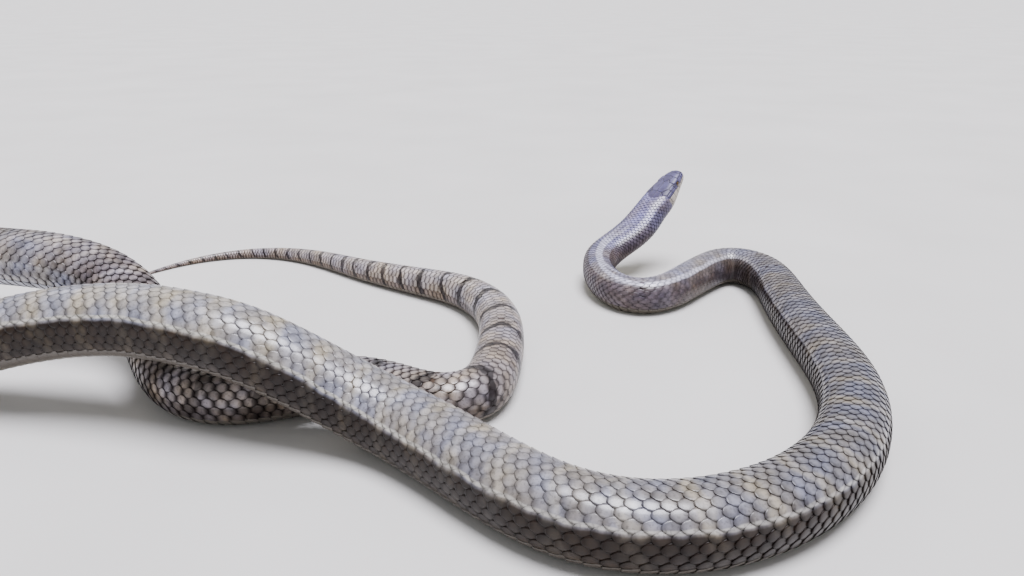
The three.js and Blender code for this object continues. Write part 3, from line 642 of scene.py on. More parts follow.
def makeSkinMaterial():
    material, tree, place = startMaterial("taut shielded skin")
    along = addNode(tree, "ShaderNodeAttribute", {"attribute_name": "along"}, output="Fac")
    look = addNode(tree, "ShaderNodeAttribute", {"attribute_name": "look"}, output="Vector")
    toSeam, pale, tone = addNode(tree, "ShaderNodeSeparateXYZ", inputs=[look]).node.outputs
    cloud, speck = [addNode(tree, "ShaderNodeTexNoise", inputs={"Vector": place, **skinPaint[name]})
                    for name in ("cloudNoise", "speckNoise")]
    top = addNode(tree, "ShaderNodeMix", {"data_type": "RGBA"},
                  {0: tone, 6: skinPaint["shield"], 7: skinPaint["dark"]}, 2)
    top = layOver(tree, top, skinPaint["dark"], cloud, skinPaint["darkPart"], skinPaint["darkAmount"],
                  "LINEAR")
    top = layOver(tree, top, skinPaint["speck"], speck, skinPaint["speckPart"], skinPaint["speckAmount"],
                  "LINEAR")
    low = layOver(tree, skinPaint["lip"], skinPaint["throat"], pale, [(0.0, 0.0), (1.0, 1.0)], None, "LINEAR")
    low = layOver(tree, low, skinPaint["stain"], cloud, skinPaint["darkPart"], skinPaint["stainAmount"],
                  "LINEAR")
    painted = layOver(tree, top, low, pale, skinPaint["lipPart"])
    covered, cone = [addNode(tree, "ShaderNodeValToRGB", {"stops": skinPaint[name]}, [along])
                     for name in ("covered", "cone")]
    under = addNode(tree, "ShaderNodeMix", {"data_type": "RGBA", "blend_type": "MULTIPLY"},
                    {0: cone, 6: paintCoat(tree, place), 7: skinPaint["under"]}, 2)
    painted = addNode(tree, "ShaderNodeMix", {"data_type": "RGBA"}, {0: covered, 6: painted, 7: under}, 2)
    painted = layOver(tree, painted, skinPaint["seam"], toSeam, skinPaint["seamPart"],
                      skinPaint["seamAmount"])
    groove = addNode(tree, "ShaderNodeValToRGB", {"stops": skinPaint["groovePart"], "smooth": "EASE"},
                     [toSeam])
    groove = addNode(tree, "ShaderNodeBump", inputs={
        "Height": groove, "Strength": 1.0, "Distance": skinPaint["grooveDepth"]})
    shine = addNode(tree, "ShaderNodeMath", {"operation": "MULTIPLY_ADD"},
                    [covered, skinPaint["coveredShine"], skinPaint["shine"]])
    gloss = addNode(tree, "ShaderNodeMath", {"operation": "MULTIPLY"}, [shine, skinPaint["coatAmount"]])
    endMaterial(tree, {"Base Color": painted, "IOR": 1.42, "Specular IOR Level": shine, "Coat Weight": gloss,
                       "Coat Roughness": skinPaint["coatRough"],
                       **addGrain(tree, place, skinPaint, Normal=groove)})
    return material


# Eye under its clear scale: wet-looking dome, dark bronze iris with fine streaks, round black pupil.
eyePaint = {
    "pupil": "#050404", "irisPart": [(0.42, 0.0), (0.46, 1.0)],
    "bronze": "#3d2a18", "bright": "#7d5c34", "brightPart": [(0.35, 0.0), (0.65, 1.0)],
    "streakNoise": {"Scale": 9.0, "Detail": 4.0}, "rim": "#0e0a08", "rimPart": [(0.72, 0.0), (0.88, 1.0)],
    "rough": 0.12, "coatRough": 0.03,
}


def makeEyeMaterial():
    material, tree = startMaterial("eye under clear scale")[:2]
    disc = addNode(tree, "ShaderNodeAttribute", {"attribute_name": "disc"}, output="Vector")
    away = addNode(tree, "ShaderNodeSeparateXYZ", inputs=[disc], output="Z")
    streaks = addNode(tree, "ShaderNodeTexNoise", inputs={"Vector": disc, **eyePaint["streakNoise"]})
    painted = layOver(tree, eyePaint["bronze"], eyePaint["bright"], streaks, eyePaint["brightPart"], None,
                      "LINEAR")
    painted = layOver(tree, eyePaint["pupil"], painted, away, eyePaint["irisPart"], None, "LINEAR")
    painted = layOver(tree, painted, eyePaint["rim"], away, eyePaint["rimPart"], None, "LINEAR")
    endMaterial(tree, {"Base Color": painted, "IOR": 1.4, "Roughness": eyePaint["rough"],
                       "Coat Weight": 1.0, "Coat Roughness": eyePaint["coatRough"]})
    return material


materials = {"scale": makeScaleMaterial(), "scute": makeScuteMaterial(), "skin": makeSkinMaterial(),
             "eye": makeEyeMaterial()}
print("materials made")

# Head shields as outlines on its surface: distance from the snout, and the way down from the midline
# of the crown (0) over the mouth (1) to the midline of the throat (2).
shieldForm = {
    "rise": 0.28, "foot": 0.06, "edge": 1.15, "rostralEdge": 0.6, "tones": (0.1, 0.75), "seed": 5,
    # the brow shields rise towards the eye, by the way down from the crown
    "brow": {"rise": 0.7, "from": 0.3, "over": 0.22},
    "middle": {
        "frontal": [[17.9, 0], [19.9, -0.24], [26.6, -0.19], [33.3, 0], [26.6, 0.19], [19.9, 0.24]],
        "mental": [[2.6, 1.5], [5.4, 1.8], [5.4, 2.2], [2.6, 2.5], [2.2, 2.1], [2.2, 1.9]],
    },
    "rostral": [[0.9, 0.99], [1.6, 0.97], [2.4, 0.8], [2.7, 0.6], [3.4, 0.34], [4.8, 0]],
    "side": {
        "internasal": [[5.1, 0], [9.6, 0], [10.2, 0.27], [8.4, 0.48], [3.7, 0.43]],
        "prefrontal": [[9.7, 0], [17.7, 0], [19.6, 0.25], [18.8, 0.52], [12.2, 0.53], [8.7, 0.49],
                       [10.4, 0.28]],
        "supraocular": [[19, 0.52], [20, 0.25], [26.6, 0.2], [31.5, 0.27], [31.8, 0.5], [28.5, 0.57],
                        [21.5, 0.58]],
        "parietal": [[33.5, 0], [51.3, 0], [52.4, 0.25], [43, 0.43], [32.2, 0.48], [31.7, 0.27],
                     [27, 0.18]],
        "occipital": [[51.4, 0], [65, 0], [66.6, 0.17], [59, 0.32], [52.6, 0.26]],
        "nasal": [[3, 0.46], [8.4, 0.51], [12, 0.55], [12, 0.8], [2.7, 0.8]],
        "preocular": [[12.1, 0.55], [18.8, 0.54], [21.6, 0.6], [21, 0.79], [12.1, 0.8]],
        "postocular1": [[29.2, 0.58], [31.8, 0.52], [33.8, 0.49], [34.4, 0.6], [30.6, 0.64]],
        "postocular2": [[30.6, 0.65], [34.4, 0.61], [34.2, 0.72], [31.6, 0.79], [29.4, 0.75]],
        "temporal1": [[34.2, 0.48], [43.2, 0.44], [43.4, 0.57], [34.6, 0.6]],
        "temporal2": [[34.7, 0.61], [43.4, 0.58], [43.4, 0.71], [34.6, 0.73]],
        "temporal3": [[43.6, 0.43], [52.6, 0.27], [57.7, 0.42], [54.5, 0.57], [43.7, 0.57]],
        "temporal4": [[43.7, 0.58], [54.5, 0.58], [55.7, 0.71], [43.7, 0.71]],
    },
    "upperLip": {"edges": [2.6, 7, 12, 18, 25.5, 33.5, 43, 54],
                 "reach": [0.81, 0.81, 0.81, 0.83, 0.81, 0.74, 0.72, 0.73]},
    "lowerLip": {"edges": [2.6, 8, 15, 24, 34, 45, 56], "reach": [1.32, 1.3, 1.28, 1.26, 1.25, 1.24, 1.23]},
    "chin": {"edges": [5.8, 21, 35], "inner": 2, "outer": [1.5, 1.48, 1.6]},
}


# All outlines on the animal's right side, or across its middle, with counter-clockwise corners.
def shieldOutlines():
    outlines = [(name, corners, False) for name, corners in shieldForm["middle"].items()]
    outlines += [(name, corners, True) for name, corners in shieldForm["side"].items()]
    for lip in ("upperLip", "lowerLip"):
        edges, reach = shieldForm[lip]["edges"], shieldForm[lip]["reach"]
        for k in range(len(edges) - 1):
            corners = [[edges[k], reach[k]], [edges[k + 1], reach[k + 1]], [edges[k + 1], 1],
                       [edges[k], 1]]
            outlines.append((lip + str(k), corners, True))
    chin = shieldForm["chin"]
    for k in range(2):
        corners = [[chin["edges"][k], chin["outer"][k]], [chin["edges"][k + 1], chin["outer"][k + 1]],
                   [chin["edges"][k + 1], chin["inner"]], [chin["edges"][k], chin["inner"]]]
        outlines.append(("chin" + str(k), corners, True))
    return outlines


# Distance in millimetres to an outline, positive inside it, for points of the head.
def shieldDistance(back, down, unitDown, corners):
    corners = np.array(corners, float)
    inside = np.zeros(back.shape, bool)
    nearest = np.full(back.shape, 99.0)
    for k in range(len(corners)):
        (b0, d0), (b1, d1) = corners[k - 1], corners[k]
        crosses = (d0 > down) != (d1 > down)
        if d1 != d0:
            inside ^= crosses & (back < (b1 - b0) * (down - d0) / (d1 - d0) + b0)
        ex, ey = b1 - b0, (d1 - d0) * unitDown
        px, py = back - b0, (down - d0) * unitDown
        f = np.clip((px * ex + py * ey) / np.maximum(ex * ex + ey * ey, 1e-9), 0, 1)
        nearest = np.minimum(nearest, np.hypot(px - f * ex, py - f * ey))
    return np.where(inside, nearest, -nearest)


skinForm = {
    # points round a ring, crowded at the mouth, and where every second one of them is left out
    "columns": 296, "crowd": 0.6, "crowdWidth": 0.07, "halveAt": (92, 120),
    # rings behind the head, and over the cone that ends the tail
    "neckRings": (2, 46, 2.2), "bodyFrom": 50, "bodyStep": 10.4, "coneGap": 3, "cone": 6.0,
    "coneRings": np.array([0, 0.15, 0.3, 0.45, 0.6, 0.72, 0.82, 0.9, 0.96, 0.99]),
    "coneRise": 4, "coneRound": 0.6, "noseRound": 1.2, "nosePole": 0.02, "tailPole": 0.2,
    # the head's shapes fade out from here to the nape
    "settleFrom": 62, "settleGap": 2, "seamReach": 3.0, "seamFoot": 0.28,
    "mouth": {"depth": 0.95, "width": 0.42, "roll": 0.28, "rollAt": 1.5, "rollWidth": 0.9, "end": 61,
              "fade": 5, "snoutShare": 0.3, "snoutFrom": 0.8, "snoutFade": 1.6},
    "nostril": {"back": 7.3, "down": 0.64, "radius": 1.2, "depth": 1.8, "long": 1.3, "floor": 0.35,
                "rim": 0.16, "rimAt": 1.35, "rimWidth": 0.5, "seamAt": 0.5, "seamSlope": 0.8},
    "socket": {"radius": 3.35, "depth": 1.9, "wall": 0.5, "slope": 0.9, "rim": 0.35, "rimAt": 0.75,
               "rimWidth": 0.45, "seams": ((0.1, 1.1, 0), (1.5, 1.5, 0.25))},
    # how pale lips and throat are, and how soft the edges of the pale parts
    "pale": {"lips": 0.55, "lipEdge": 0.01, "lipFade": 0.035, "throatFrom": 1.05, "throatFade": 0.3,
             "snoutBack": [0, 1.6], "snoutReach": [1.05, 0.98]},
    # distance to a seam, paleness and tone at the very tip of the snout
    "snoutLook": (1, 0, 0.3),
}


def headDowns():
    d = np.linspace(0, 2, 4001)
    spacing = 1 - skinForm["crowd"] * np.exp(-((d - 1) / skinForm["crowdWidth"]) ** 2)
    t = np.concatenate([[0], np.cumsum(np.diff(d) / spacing[1:])])
    half = np.interp(np.linspace(0, t[-1], skinForm["columns"] // 2 + 1), t, d)
    return np.concatenate([half, -half[-2:0:-1]])


def sculptHead(back, down):
    side = np.abs(down)
    girth = np.interp(back, sections["s"], sections["girth"]) / 2
    mouthAt = mouthFraction(back)
    unitDown = np.where(side <= 1, mouthAt, 1 - mouthAt) * girth
    height, tone = np.zeros(back.shape), np.zeros(back.shape)
    seam = np.full(back.shape, skinForm["seamReach"])
    random = np.random.default_rng(shieldForm["seed"])
    rise, brow = shieldForm["rise"], shieldForm["brow"]
    for name, corners, paired in shieldOutlines():
        way = side if paired else np.where(down < 0, 4 - side, down)
        if name == "frontal":
            way = down
        near = shieldDistance(back, way, unitDown, corners)
        top = rise
        if name == "supraocular":
            top = rise + brow["rise"] * ease((way - brow["from"]) / brow["over"])
        body = ease((near - shieldForm["foot"]) / shieldForm["edge"])
        height = np.maximum(height, np.where(near > 0, top * body, 0))
        seam = np.minimum(seam, np.abs(near))
        tone = np.where(near > 0, random.uniform(*shieldForm["tones"]), tone)
    rostral = np.array(shieldForm["rostral"])[::-1]
    edge = np.interp(side, rostral[:, 1], rostral[:, 0])
    above = side < rostral[-1, 1]
    near = edge - back
    height = np.maximum(height, np.where(above, rise * ease(near / shieldForm["rostralEdge"]), 0))
    seam = np.where(above, np.minimum(seam, np.abs(near)), seam)
    # the line of the mouth, with rolled lips
    mouth = skinForm["mouth"]
    toMouth = (side - 1) * unitDown
    snout = ease((back - mouth["snoutFrom"]) / mouth["snoutFade"])
    opened = ease((mouth["end"] - back) / mouth["fade"]) * (
        mouth["snoutShare"] + (1 - mouth["snoutShare"]) * snout)
    height -= (mouth["depth"] + rise) * np.exp(-(toMouth / mouth["width"]) ** 2) * opened
    toRoll = (np.abs(toMouth) - mouth["rollAt"]) / mouth["rollWidth"]
    height += mouth["roll"] * np.exp(-toRoll ** 2) * opened
    seam = np.minimum(seam, np.abs(toMouth) + skinForm["seamReach"] * (1 - opened))
    # nostril in the middle of the nasal shields
    pit = skinForm["nostril"]
    away = np.hypot((back - pit["back"]) / pit["long"], (side - pit["down"]) * unitDown)
    slope = (away - pit["floor"] * pit["radius"]) / ((1 - pit["floor"]) * pit["radius"])
    height -= (pit["depth"] + rise) * (1 - ease(slope))
    height += pit["rim"] * np.exp(-((away - pit["rimAt"] * pit["radius"]) / pit["rimWidth"]) ** 2)
    seam = np.minimum(seam, np.maximum(away - pit["seamAt"], 0) * pit["seamSlope"])
    # socket that holds the eye, with the ring of skin around it
    pit = skinForm["socket"]
    away = np.hypot(back - eyeForm["back"], (side - eyeForm["down"]) * unitDown)
    sunk = 1 - ease((away - pit["radius"] + pit["wall"]) / pit["slope"])
    height = height * (1 - sunk) - pit["depth"] * sunk
    height += pit["rim"] * np.exp(-((away - pit["radius"] - pit["rimAt"]) / pit["rimWidth"]) ** 2)
    for at, slope, least in pit["seams"]:
        seam = np.minimum(seam, np.abs(away - pit["radius"] - at) * slope + least)
    # lip shields pale up to their upper edge, throat pale all over
    paint = skinForm["pale"]
    upper = shieldForm["upperLip"]
    lip = np.interp(back, paint["snoutBack"] + upper["edges"], paint["snoutReach"] + upper["reach"])
    lip = np.where(side < 1, ease((side - lip + paint["lipEdge"]) / paint["lipFade"]), 1)
    lip = lip * ease((mouth["end"] - back) / mouth["fade"])
    throat = ease((side - paint["throatFrom"]) / paint["throatFade"])
    pale = np.where(side < paint["throatFrom"], paint["lips"] * lip,
                    paint["lips"] + (1 - paint["lips"]) * throat)
    # rounded at its foot, so that it crosses the faces smoothly
    seam = np.hypot(seam, skinForm["seamFoot"])
    return height, seam / skinForm["seamReach"], pale, tone


def joinRings(first, second):
    count = len(second)
    n = np.arange(count)
    m = (n + 1) % count
    if len(first) == count:
        return np.stack([first[n], second[n], second[m], first[m]], 1), None
    a, b, c = first[2 * n], first[2 * n + 1], first[(2 * n + 2) % len(first)]
    return None, np.concatenate([np.stack([a, second[n], b], 1), np.stack([b, second[n], second[m]], 1),
                                 np.stack([b, second[m], c], 1)])


# Rings of points from the snout to the tail tip, as places, distances, ways round and point numbers.
def skinRings(headStations, downs):
    coneStart = bodyEnd - skinForm["cone"]
    first, last, step = skinForm["neckRings"]
    stations = np.concatenate([
        headStations, np.arange(headEnd + first, headEnd + last, step),
        np.arange(headEnd + skinForm["bodyFrom"], coneStart - skinForm["coneGap"], skinForm["bodyStep"]),
        coneStart + skinForm["coneRings"] * skinForm["cone"]])
    places, ways, turns, rings = [], [], [], []
    total = 0
    for s in stations:
        ringDowns = downs[::1 + (s > skinForm["halveAt"][0]) + 2 * (s > skinForm["halveAt"][1])]
        way = np.full(len(ringDowns), s)
        around = aroundFromDown(way, ringDowns)
        around[len(ringDowns) // 2] = -1 if around[len(ringDowns) // 2] < 0 else 1
        # the tail ends in a cone of its own, which stands as high as the scales
        cone = max(s - coneStart, 0) / skinForm["cone"]
        below = -coatDepth(way) * (1 - ease(cone * skinForm["coneRise"])) if s > headEnd else 0
        ring = surfaceAt(way, around, below)
        middle = onLine(way, "centre")
        places.append(middle + (ring - middle) * (1 - cone ** 2) ** skinForm["coneRound"])
        ways.append(way)
        turns.append(around)
        rings.append(np.arange(total, total + len(ringDowns)))
        total += len(ringDowns)
    return places, np.concatenate(ways), np.concatenate(turns), rings


# A face belongs to the strip of its lowest point, and none may run across the seam on the belly.
def unwrapSkin(mesh, faces, s, around):
    loops = cornerPoints(mesh)
    sizes = np.array([len(face) for face in faces])
    starts = np.concatenate([[0], np.cumsum(sizes)[:-1]])
    lowest = np.minimum.reduceat(s[loops], starts)
    turn = around[loops].copy()
    middle = np.add.reduceat(turn, starts) / sizes
    spread = np.maximum.reduceat(turn, starts) - np.minimum.reduceat(turn, starts)
    wrapped = np.repeat((spread > 1) & (middle < unwrapForm["seamOn"]), sizes)
    negative = np.repeat(np.add.reduceat((turn < 0).astype(int), starts) > 0, sizes)
    turn = np.where(wrapped & negative & (turn > unwrapForm["seamNear"]), -1, turn)
    strip = np.repeat(unwrapStrip(lowest + unwrapForm["stripIn"]), sizes)
    setUnwrap(mesh, unwrap(s[loops], turn, strip))


def makeSkin():
    headStations = sections["s"][sections["s"] <= headEnd]
    downs = headDowns()
    places, s, around, rings = skinRings(headStations, downs)
    # the head's shapes stand out along its real normals
    count, columns = len(headStations), len(downs)
    grid = np.concatenate(places[:count + 1]).reshape(count + 1, columns, 3)
    normals = unit(np.cross(np.gradient(grid, axis=0), np.roll(grid, -1, 1) - np.roll(grid, 1, 1)))[:count]
    back = np.repeat(headStations[:, None], columns, 1)
    height, seam, pale, tone = sculptHead(back, np.repeat(downs[None], count, 0))
    settleFrom, settleTo = skinForm["settleFrom"], headEnd - skinForm["settleGap"]
    settle = ease((back - settleFrom) / (settleTo - settleFrom))
    height = height * (1 - settle) - coatDepth(back)
    nose = ease(back / skinForm["noseRound"])[..., None]
    normals = unit(normals * nose + -onLine(back, "ahead") * (1 - nose))
    grid = grid[:count] + normals * height[..., None]
    # a pole on the snout and one on the tail tip close it
    nosePole = grid[0].mean(0) - onLine(np.array([0.0]), "ahead")[0] * skinForm["nosePole"]
    end = np.array([bodyEnd])
    tailPole = onLine(end, "centre")[0] + onLine(end, "ahead")[0] * skinForm["tailPole"]
    points = np.concatenate([grid.reshape(-1, 3)] + places[count:] + [[nosePole, tailPole]])
    s, around = np.append(s, [0, bodyEnd]), np.append(around, [0, 0])
    look = np.tile([1.0, 0, 0], (len(points), 1))
    look[:count * columns] = np.stack([np.minimum(seam + settle, 1), pale, tone], -1).reshape(-1, 3)
    look[-2] = skinForm["snoutLook"]
    quads, triangles = [], []
    for ring, following in zip(rings[:-1], rings[1:]):
        four, three = joinRings(ring, following)
        if four is not None:
            quads.append(four)
        else:
            triangles.append(three)
    ring = rings[0]
    triangles.append(np.stack([np.full(len(ring), len(points) - 2), ring, np.roll(ring, -1)], 1))
    ring = rings[-1]
    triangles.append(np.stack([ring, np.full(len(ring), len(points) - 1), np.roll(ring, -1)], 1))
    faces = np.concatenate(quads).tolist() + np.concatenate(triangles).tolist()
    mesh = newMesh("skin", toMetres(points), faces)
    addMarks(mesh, s, around)
    addAttribute(mesh, "look", look, "FLOAT_VECTOR")
    unwrapSkin(mesh, faces, s, around)
    return newObject("skin", mesh, materials["skin"])


skin = makeSkin()
print("skin", len(skin.data.polygons), "faces")

# Eye: domed lens with a crowded rim, its pole on the pupil.
def makeEye(name, place):
    out, along = place["out"], place["along"]
    over = np.cross(out, along)
    count, reach, bulge = eyeForm["corners"], eyeForm["radius"], eyeForm["bulge"]
    tilt = np.linspace(eyeForm["poleGap"], math.pi - eyeForm["poleGap"], eyeForm["rings"])
    turn = np.arange(count) * 2 * math.pi / count
    across = np.outer(np.sin(tilt), np.cos(turn)), np.outer(np.sin(tilt), np.sin(turn))
    level = np.repeat(np.cos(tilt)[:, None], count, 1)
    points = (place["at"] + along * (across[0] * reach)[..., None] + over * (across[1] * reach)[..., None]
              + out * (level * bulge)[..., None]).reshape(-1, 3)
    disc = np.stack([across[0], across[1], np.hypot(across[0], across[1])], -1).reshape(-1, 3)
    points = np.concatenate([points, [place["at"] + out * bulge, place["at"] - out * bulge]])
    disc = np.concatenate([disc, [[0, 0, 0], [0, 0, 0]]])
    disc[:, 2] = disc[:, 2] * reach / (skinForm["socket"]["radius"] + eyeForm["underLid"])
    rings = [np.arange(k * count, (k + 1) * count) for k in range(eyeForm["rings"])]
    quads = np.concatenate([joinRings(a, b)[0] for a, b in zip(rings[:-1], rings[1:])])
    top = np.stack([np.full(count, len(points) - 2), rings[0], np.roll(rings[0], -1)], 1)
    base = np.stack([rings[-1], np.full(count, len(points) - 1), np.roll(rings[-1], -1)], 1)
    mesh = newMesh(name, toMetres(points), quads.tolist() + top.tolist() + base.tolist())
    addAttribute(mesh, "disc", disc, "FLOAT_VECTOR")
    return newObject(name, mesh, materials["eye"])


eyes = {name: makeEye(name.replace("_", "") + "Dome", place) for name, place in eyePlaces.items()}
print("eyes made")


# One scale as a plate in the plane of the body's surface: x along in pitches, y across in rows,
# z in coat depths. It starts under its neighbours and ends in a free edge.
scaleShape = {
    "rows": [[0.0, 0.34, -0.3], [0.16, 0.66, -0.08], [0.4, 0.94, 0.28], [0.66, 1.0, 0.6], [0.9, 0.84, 0.84],
             [1.1, 0.52, 0.97], [1.26, 0.14, 1.0]],
    "halfWidth": 0.76, "columns": 6, "crown": 0.3, "skirt": 0.5,
}
# the wall below a free edge: how far it leans in, and how its marks run on for the paint
skirtForm = {"narrow": 0.97, "back": 0.02, "marks": 1.02}


def makePlate(name, shape):
    count = shape["columns"]
    u = np.linspace(-1, 1, count + 1)
    rows = np.array(shape["rows"])
    x = np.repeat(rows[:, :1], count + 1, 1)
    y = rows[:, 1:2] * u * shape["halfWidth"]
    z = rows[:, 2:3] - shape["crown"] * u ** 2 * rows[:, 1:2] ** 2
    if "bow" in shape:
        x = x - shape["bow"] * u ** 2 * (x / rows[-1, 0])
    place = np.stack([np.repeat(u[None], len(rows), 0), x / rows[-1, 0], 0 * x], -1).reshape(-1, 3)
    points = np.stack([x, y, z], -1).reshape(-1, 3)
    index = np.arange(len(points)).reshape(len(rows), count + 1)
    faces = np.stack([index[:-1, :-1], index[1:, :-1], index[1:, 1:], index[:-1, 1:]], -1)
    faces = faces.reshape(-1, 4).tolist()
    # the wall below the free edge, down one side, round the tip and up the other
    rim = np.concatenate([index[1:, 0], index[-1, 1:], index[1:-1, -1][::-1]])
    below = points[rim] * [1, skirtForm["narrow"], 1] - [skirtForm["back"], 0, shape["skirt"]]
    wall = len(points) + np.arange(len(rim))
    points = np.concatenate([points, below])
    place = np.concatenate([place, place[rim] * [skirtForm["marks"], skirtForm["marks"], 1]])
    faces += np.stack([rim[:-1], wall[:-1], wall[1:], rim[1:]], 1).tolist()
    return bpy.data.objects.new(name, newMesh(name, points, faces)), place


# Geometry Nodes tree that sets a plate on every root, sized by the root's own cell.
def makePlateTree():
    tree = bpy.data.node_groups.new("plates on roots", "GeometryNodeTree")
    sockets = {}
    for name, kind, default in (("Roots", "NodeSocketGeometry", None), ("Plate", "NodeSocketObject", None),
                                ("Length variation", "NodeSocketFloat", 0.05),
                                ("Width variation", "NodeSocketFloat", 0.04),
                                ("Lift variation", "NodeSocketFloat", 0.1), ("Seed", "NodeSocketInt", 1),
                                ("Material", "NodeSocketMaterial", None)):
        socket = tree.interface.new_socket(name, in_out="INPUT", socket_type=kind)
        if default is not None:
            socket.default_value = default
        sockets[name] = socket.identifier
    tree.interface.new_socket("Coat", in_out="OUTPUT", socket_type="NodeSocketGeometry")
    given = addNode(tree, "NodeGroupInput").node.outputs
    plate = addNode(tree, "GeometryNodeObjectInfo", {"transform_space": "ORIGINAL"},
                    {"Object": given["Plate"]}, "Geometry")
    # each plate a little shorter, narrower or lower than its cell
    vary = []
    for k, name in enumerate(("Length variation", "Width variation", "Lift variation")):
        least = addNode(tree, "ShaderNodeMath", {"operation": "SUBTRACT"}, [1, given[name]])
        seed = addNode(tree, "ShaderNodeMath", {"operation": "ADD"}, [given["Seed"], k])
        vary.append(addNode(tree, "FunctionNodeRandomValue", {"data_type": "FLOAT"},
                            {"Min": least, "Max": 1, "Seed": seed}, 1))
    size = addNode(tree, "ShaderNodeCombineXYZ", inputs=vary)
    cell = addNode(tree, "GeometryNodeInputNamedAttribute", {"data_type": "FLOAT_VECTOR"},
                   {"Name": "cell"}, "Attribute")
    size = addNode(tree, "ShaderNodeVectorMath", {"operation": "MULTIPLY"}, [cell, size])
    placed = addNode(tree, "GeometryNodeInstanceOnPoints", inputs={
        "Points": given["Roots"], "Instance": plate, "Scale": size})
    real = addNode(tree, "GeometryNodeRealizeInstances", inputs={"Geometry": placed})
    painted = addNode(tree, "GeometryNodeSetMaterial", inputs={
        "Geometry": real, "Material": given["Material"]})
    addNode(tree, "NodeGroupOutput", inputs={"Coat": painted})
    return tree, sockets


plateTree, plateSockets = makePlateTree()
coat = []  # the pieces of the coat, each with its slot


# Runs the tree over the roots in the flat plane, then lays the result on the body.
def layPlates(name, slot, roots, cells, plate, material, seed):
    plateObject, place = plate
    points = bpy.data.meshes.new(name + "Roots")
    points.from_pydata(np.column_stack([roots, np.zeros(len(roots))]), [], [])
    addAttribute(points, "cell", np.column_stack([cells, np.ones(len(cells))]), "FLOAT_VECTOR")
    holder = bpy.data.objects.new(name + "Roots", points)
    bpy.context.scene.collection.objects.link(holder)
    modifier = holder.modifiers.new("plates", "NODES")
    modifier.node_group = plateTree
    modifier[plateSockets["Plate"]] = plateObject
    modifier[plateSockets["Seed"]] = seed
    modifier[plateSockets["Material"]] = material
    mesh = bpy.data.meshes.new_from_object(holder.evaluated_get(bpy.context.evaluated_depsgraph_get()))
    bpy.data.objects.remove(holder)
    mesh.name = name
    flat = np.zeros(len(mesh.vertices) * 3, np.float32)
    mesh.vertices.foreach_get("co", flat)
    flat = flat.reshape(-1, 3).astype(float)
    s, around, level = np.minimum(flat[:, 0], bodyEnd), flat[:, 1], flat[:, 2]
    depth = coatDepth(s)
    laid = toMetres(surfaceAt(s, around, level * depth * coatForm["filled"] - depth))
    mesh.vertices.foreach_set("co", laid.astype(np.float32).ravel())
    mesh.update()
    addMarks(mesh, s, around)
    owner = np.arange(len(flat)) // len(place)
    spot = np.tile(place, (len(roots), 1))
    spot[:, 2] = np.random.default_rng(seed).uniform(0, 1, len(roots))[owner]
    addAttribute(mesh, "spot", spot, "FLOAT_VECTOR")
    loops = cornerPoints(mesh)
    rootAt = unwrap(roots[:, 0], (roots[:, 1] + 1) % 2 - 1, unwrapStrip(roots[:, 0]))
    square = np.stack([spot[loops, 1] - 0.5, spot[loops, 0] * 0.5], -1)
    uv = rootAt[owner[loops]] + square * unwrapForm["plate"]
    setUnwrap(mesh, np.clip(uv, 0, 1))
    coat.append((newObject(name, mesh, material), slot))
    print(name, len(roots), "plates,", len(mesh.polygons), "faces")


# Scales: rows around the body by distance from the snout, and how long one is.
scaleRows = {
    "counts": [[0, 21], [330, 19], [620, 17], [2900, 15], [3300, 13], [3480, 11], [3640, 9], [3840, 7],
               [4000, 5]],
    "pitch": 2.4, "pitchPerRadius": 0.265, "neckPitch": 0.66, "neckFrom": 60, "neckTo": 420,
    "beltEdge": 0.665, "scuteEdge": 0.655, "start": 50, "underShields": 3, "tailEnd": 8.5,
    "steps": 6000, "seed": 11,
    # where rows start behind the shields, by the way down from the crown
    "headLimit": [[0, 65], [0.17, 65.5], [0.31, 58.5], [0.45, 57], [0.6, 56], [0.7, 55.5], [0.82, 56],
                  [0.93, 61], [1.0, 62.5], [1.08, 61], [1.2, 57]],
}


def pitchAt(s):
    full = scaleRows["pitch"] + scaleRows["pitchPerRadius"] * onLine(s, "radius")
    f = ease((s - scaleRows["neckFrom"]) / (scaleRows["neckTo"] - scaleRows["neckFrom"]))
    return full * (scaleRows["neckPitch"] * (1 - f) + f)


# Stations one pitch apart, from the head to the tail tip
def pitchStations(start):
    steps = np.linspace(start, bodyEnd, scaleRows["steps"])
    counted = np.concatenate([[0], np.cumsum(np.diff(steps) / pitchAt((steps[1:] + steps[:-1]) / 2))])
    return lambda n: np.interp(n, counted, steps), counted[-1]


stationOf, stationCount = pitchStations(scaleRows["start"])


def scaleRoots():
    roots, cells = [], []
    counts = scaleRows["counts"]
    for n in range(int(stationCount * 2)):
        s = float(stationOf(n / 2))
        if s > bodyEnd - scaleRows["tailEnd"]:
            break
        rows = [count for start, count in counts if s >= start][-1]
        width = 2 * scaleRows["beltEdge"] / rows
        for row in range(rows):
            if (row + n) % 2:
                continue
            around = -scaleRows["beltEdge"] + width * (row + 0.5)
            if s < headEnd:
                mouth = float(mouthFraction(s))
                way = abs(around)
                down = way / mouth if way <= mouth else 1 + (way - mouth) / (1 - mouth)
                limit = np.interp(down, *np.array(scaleRows["headLimit"]).T)
                if s < limit - scaleRows["underShields"]:
                    continue
            roots.append([s, around])
            cells.append([float(pitchAt(s)), width])
    return np.array(roots), np.array(cells)


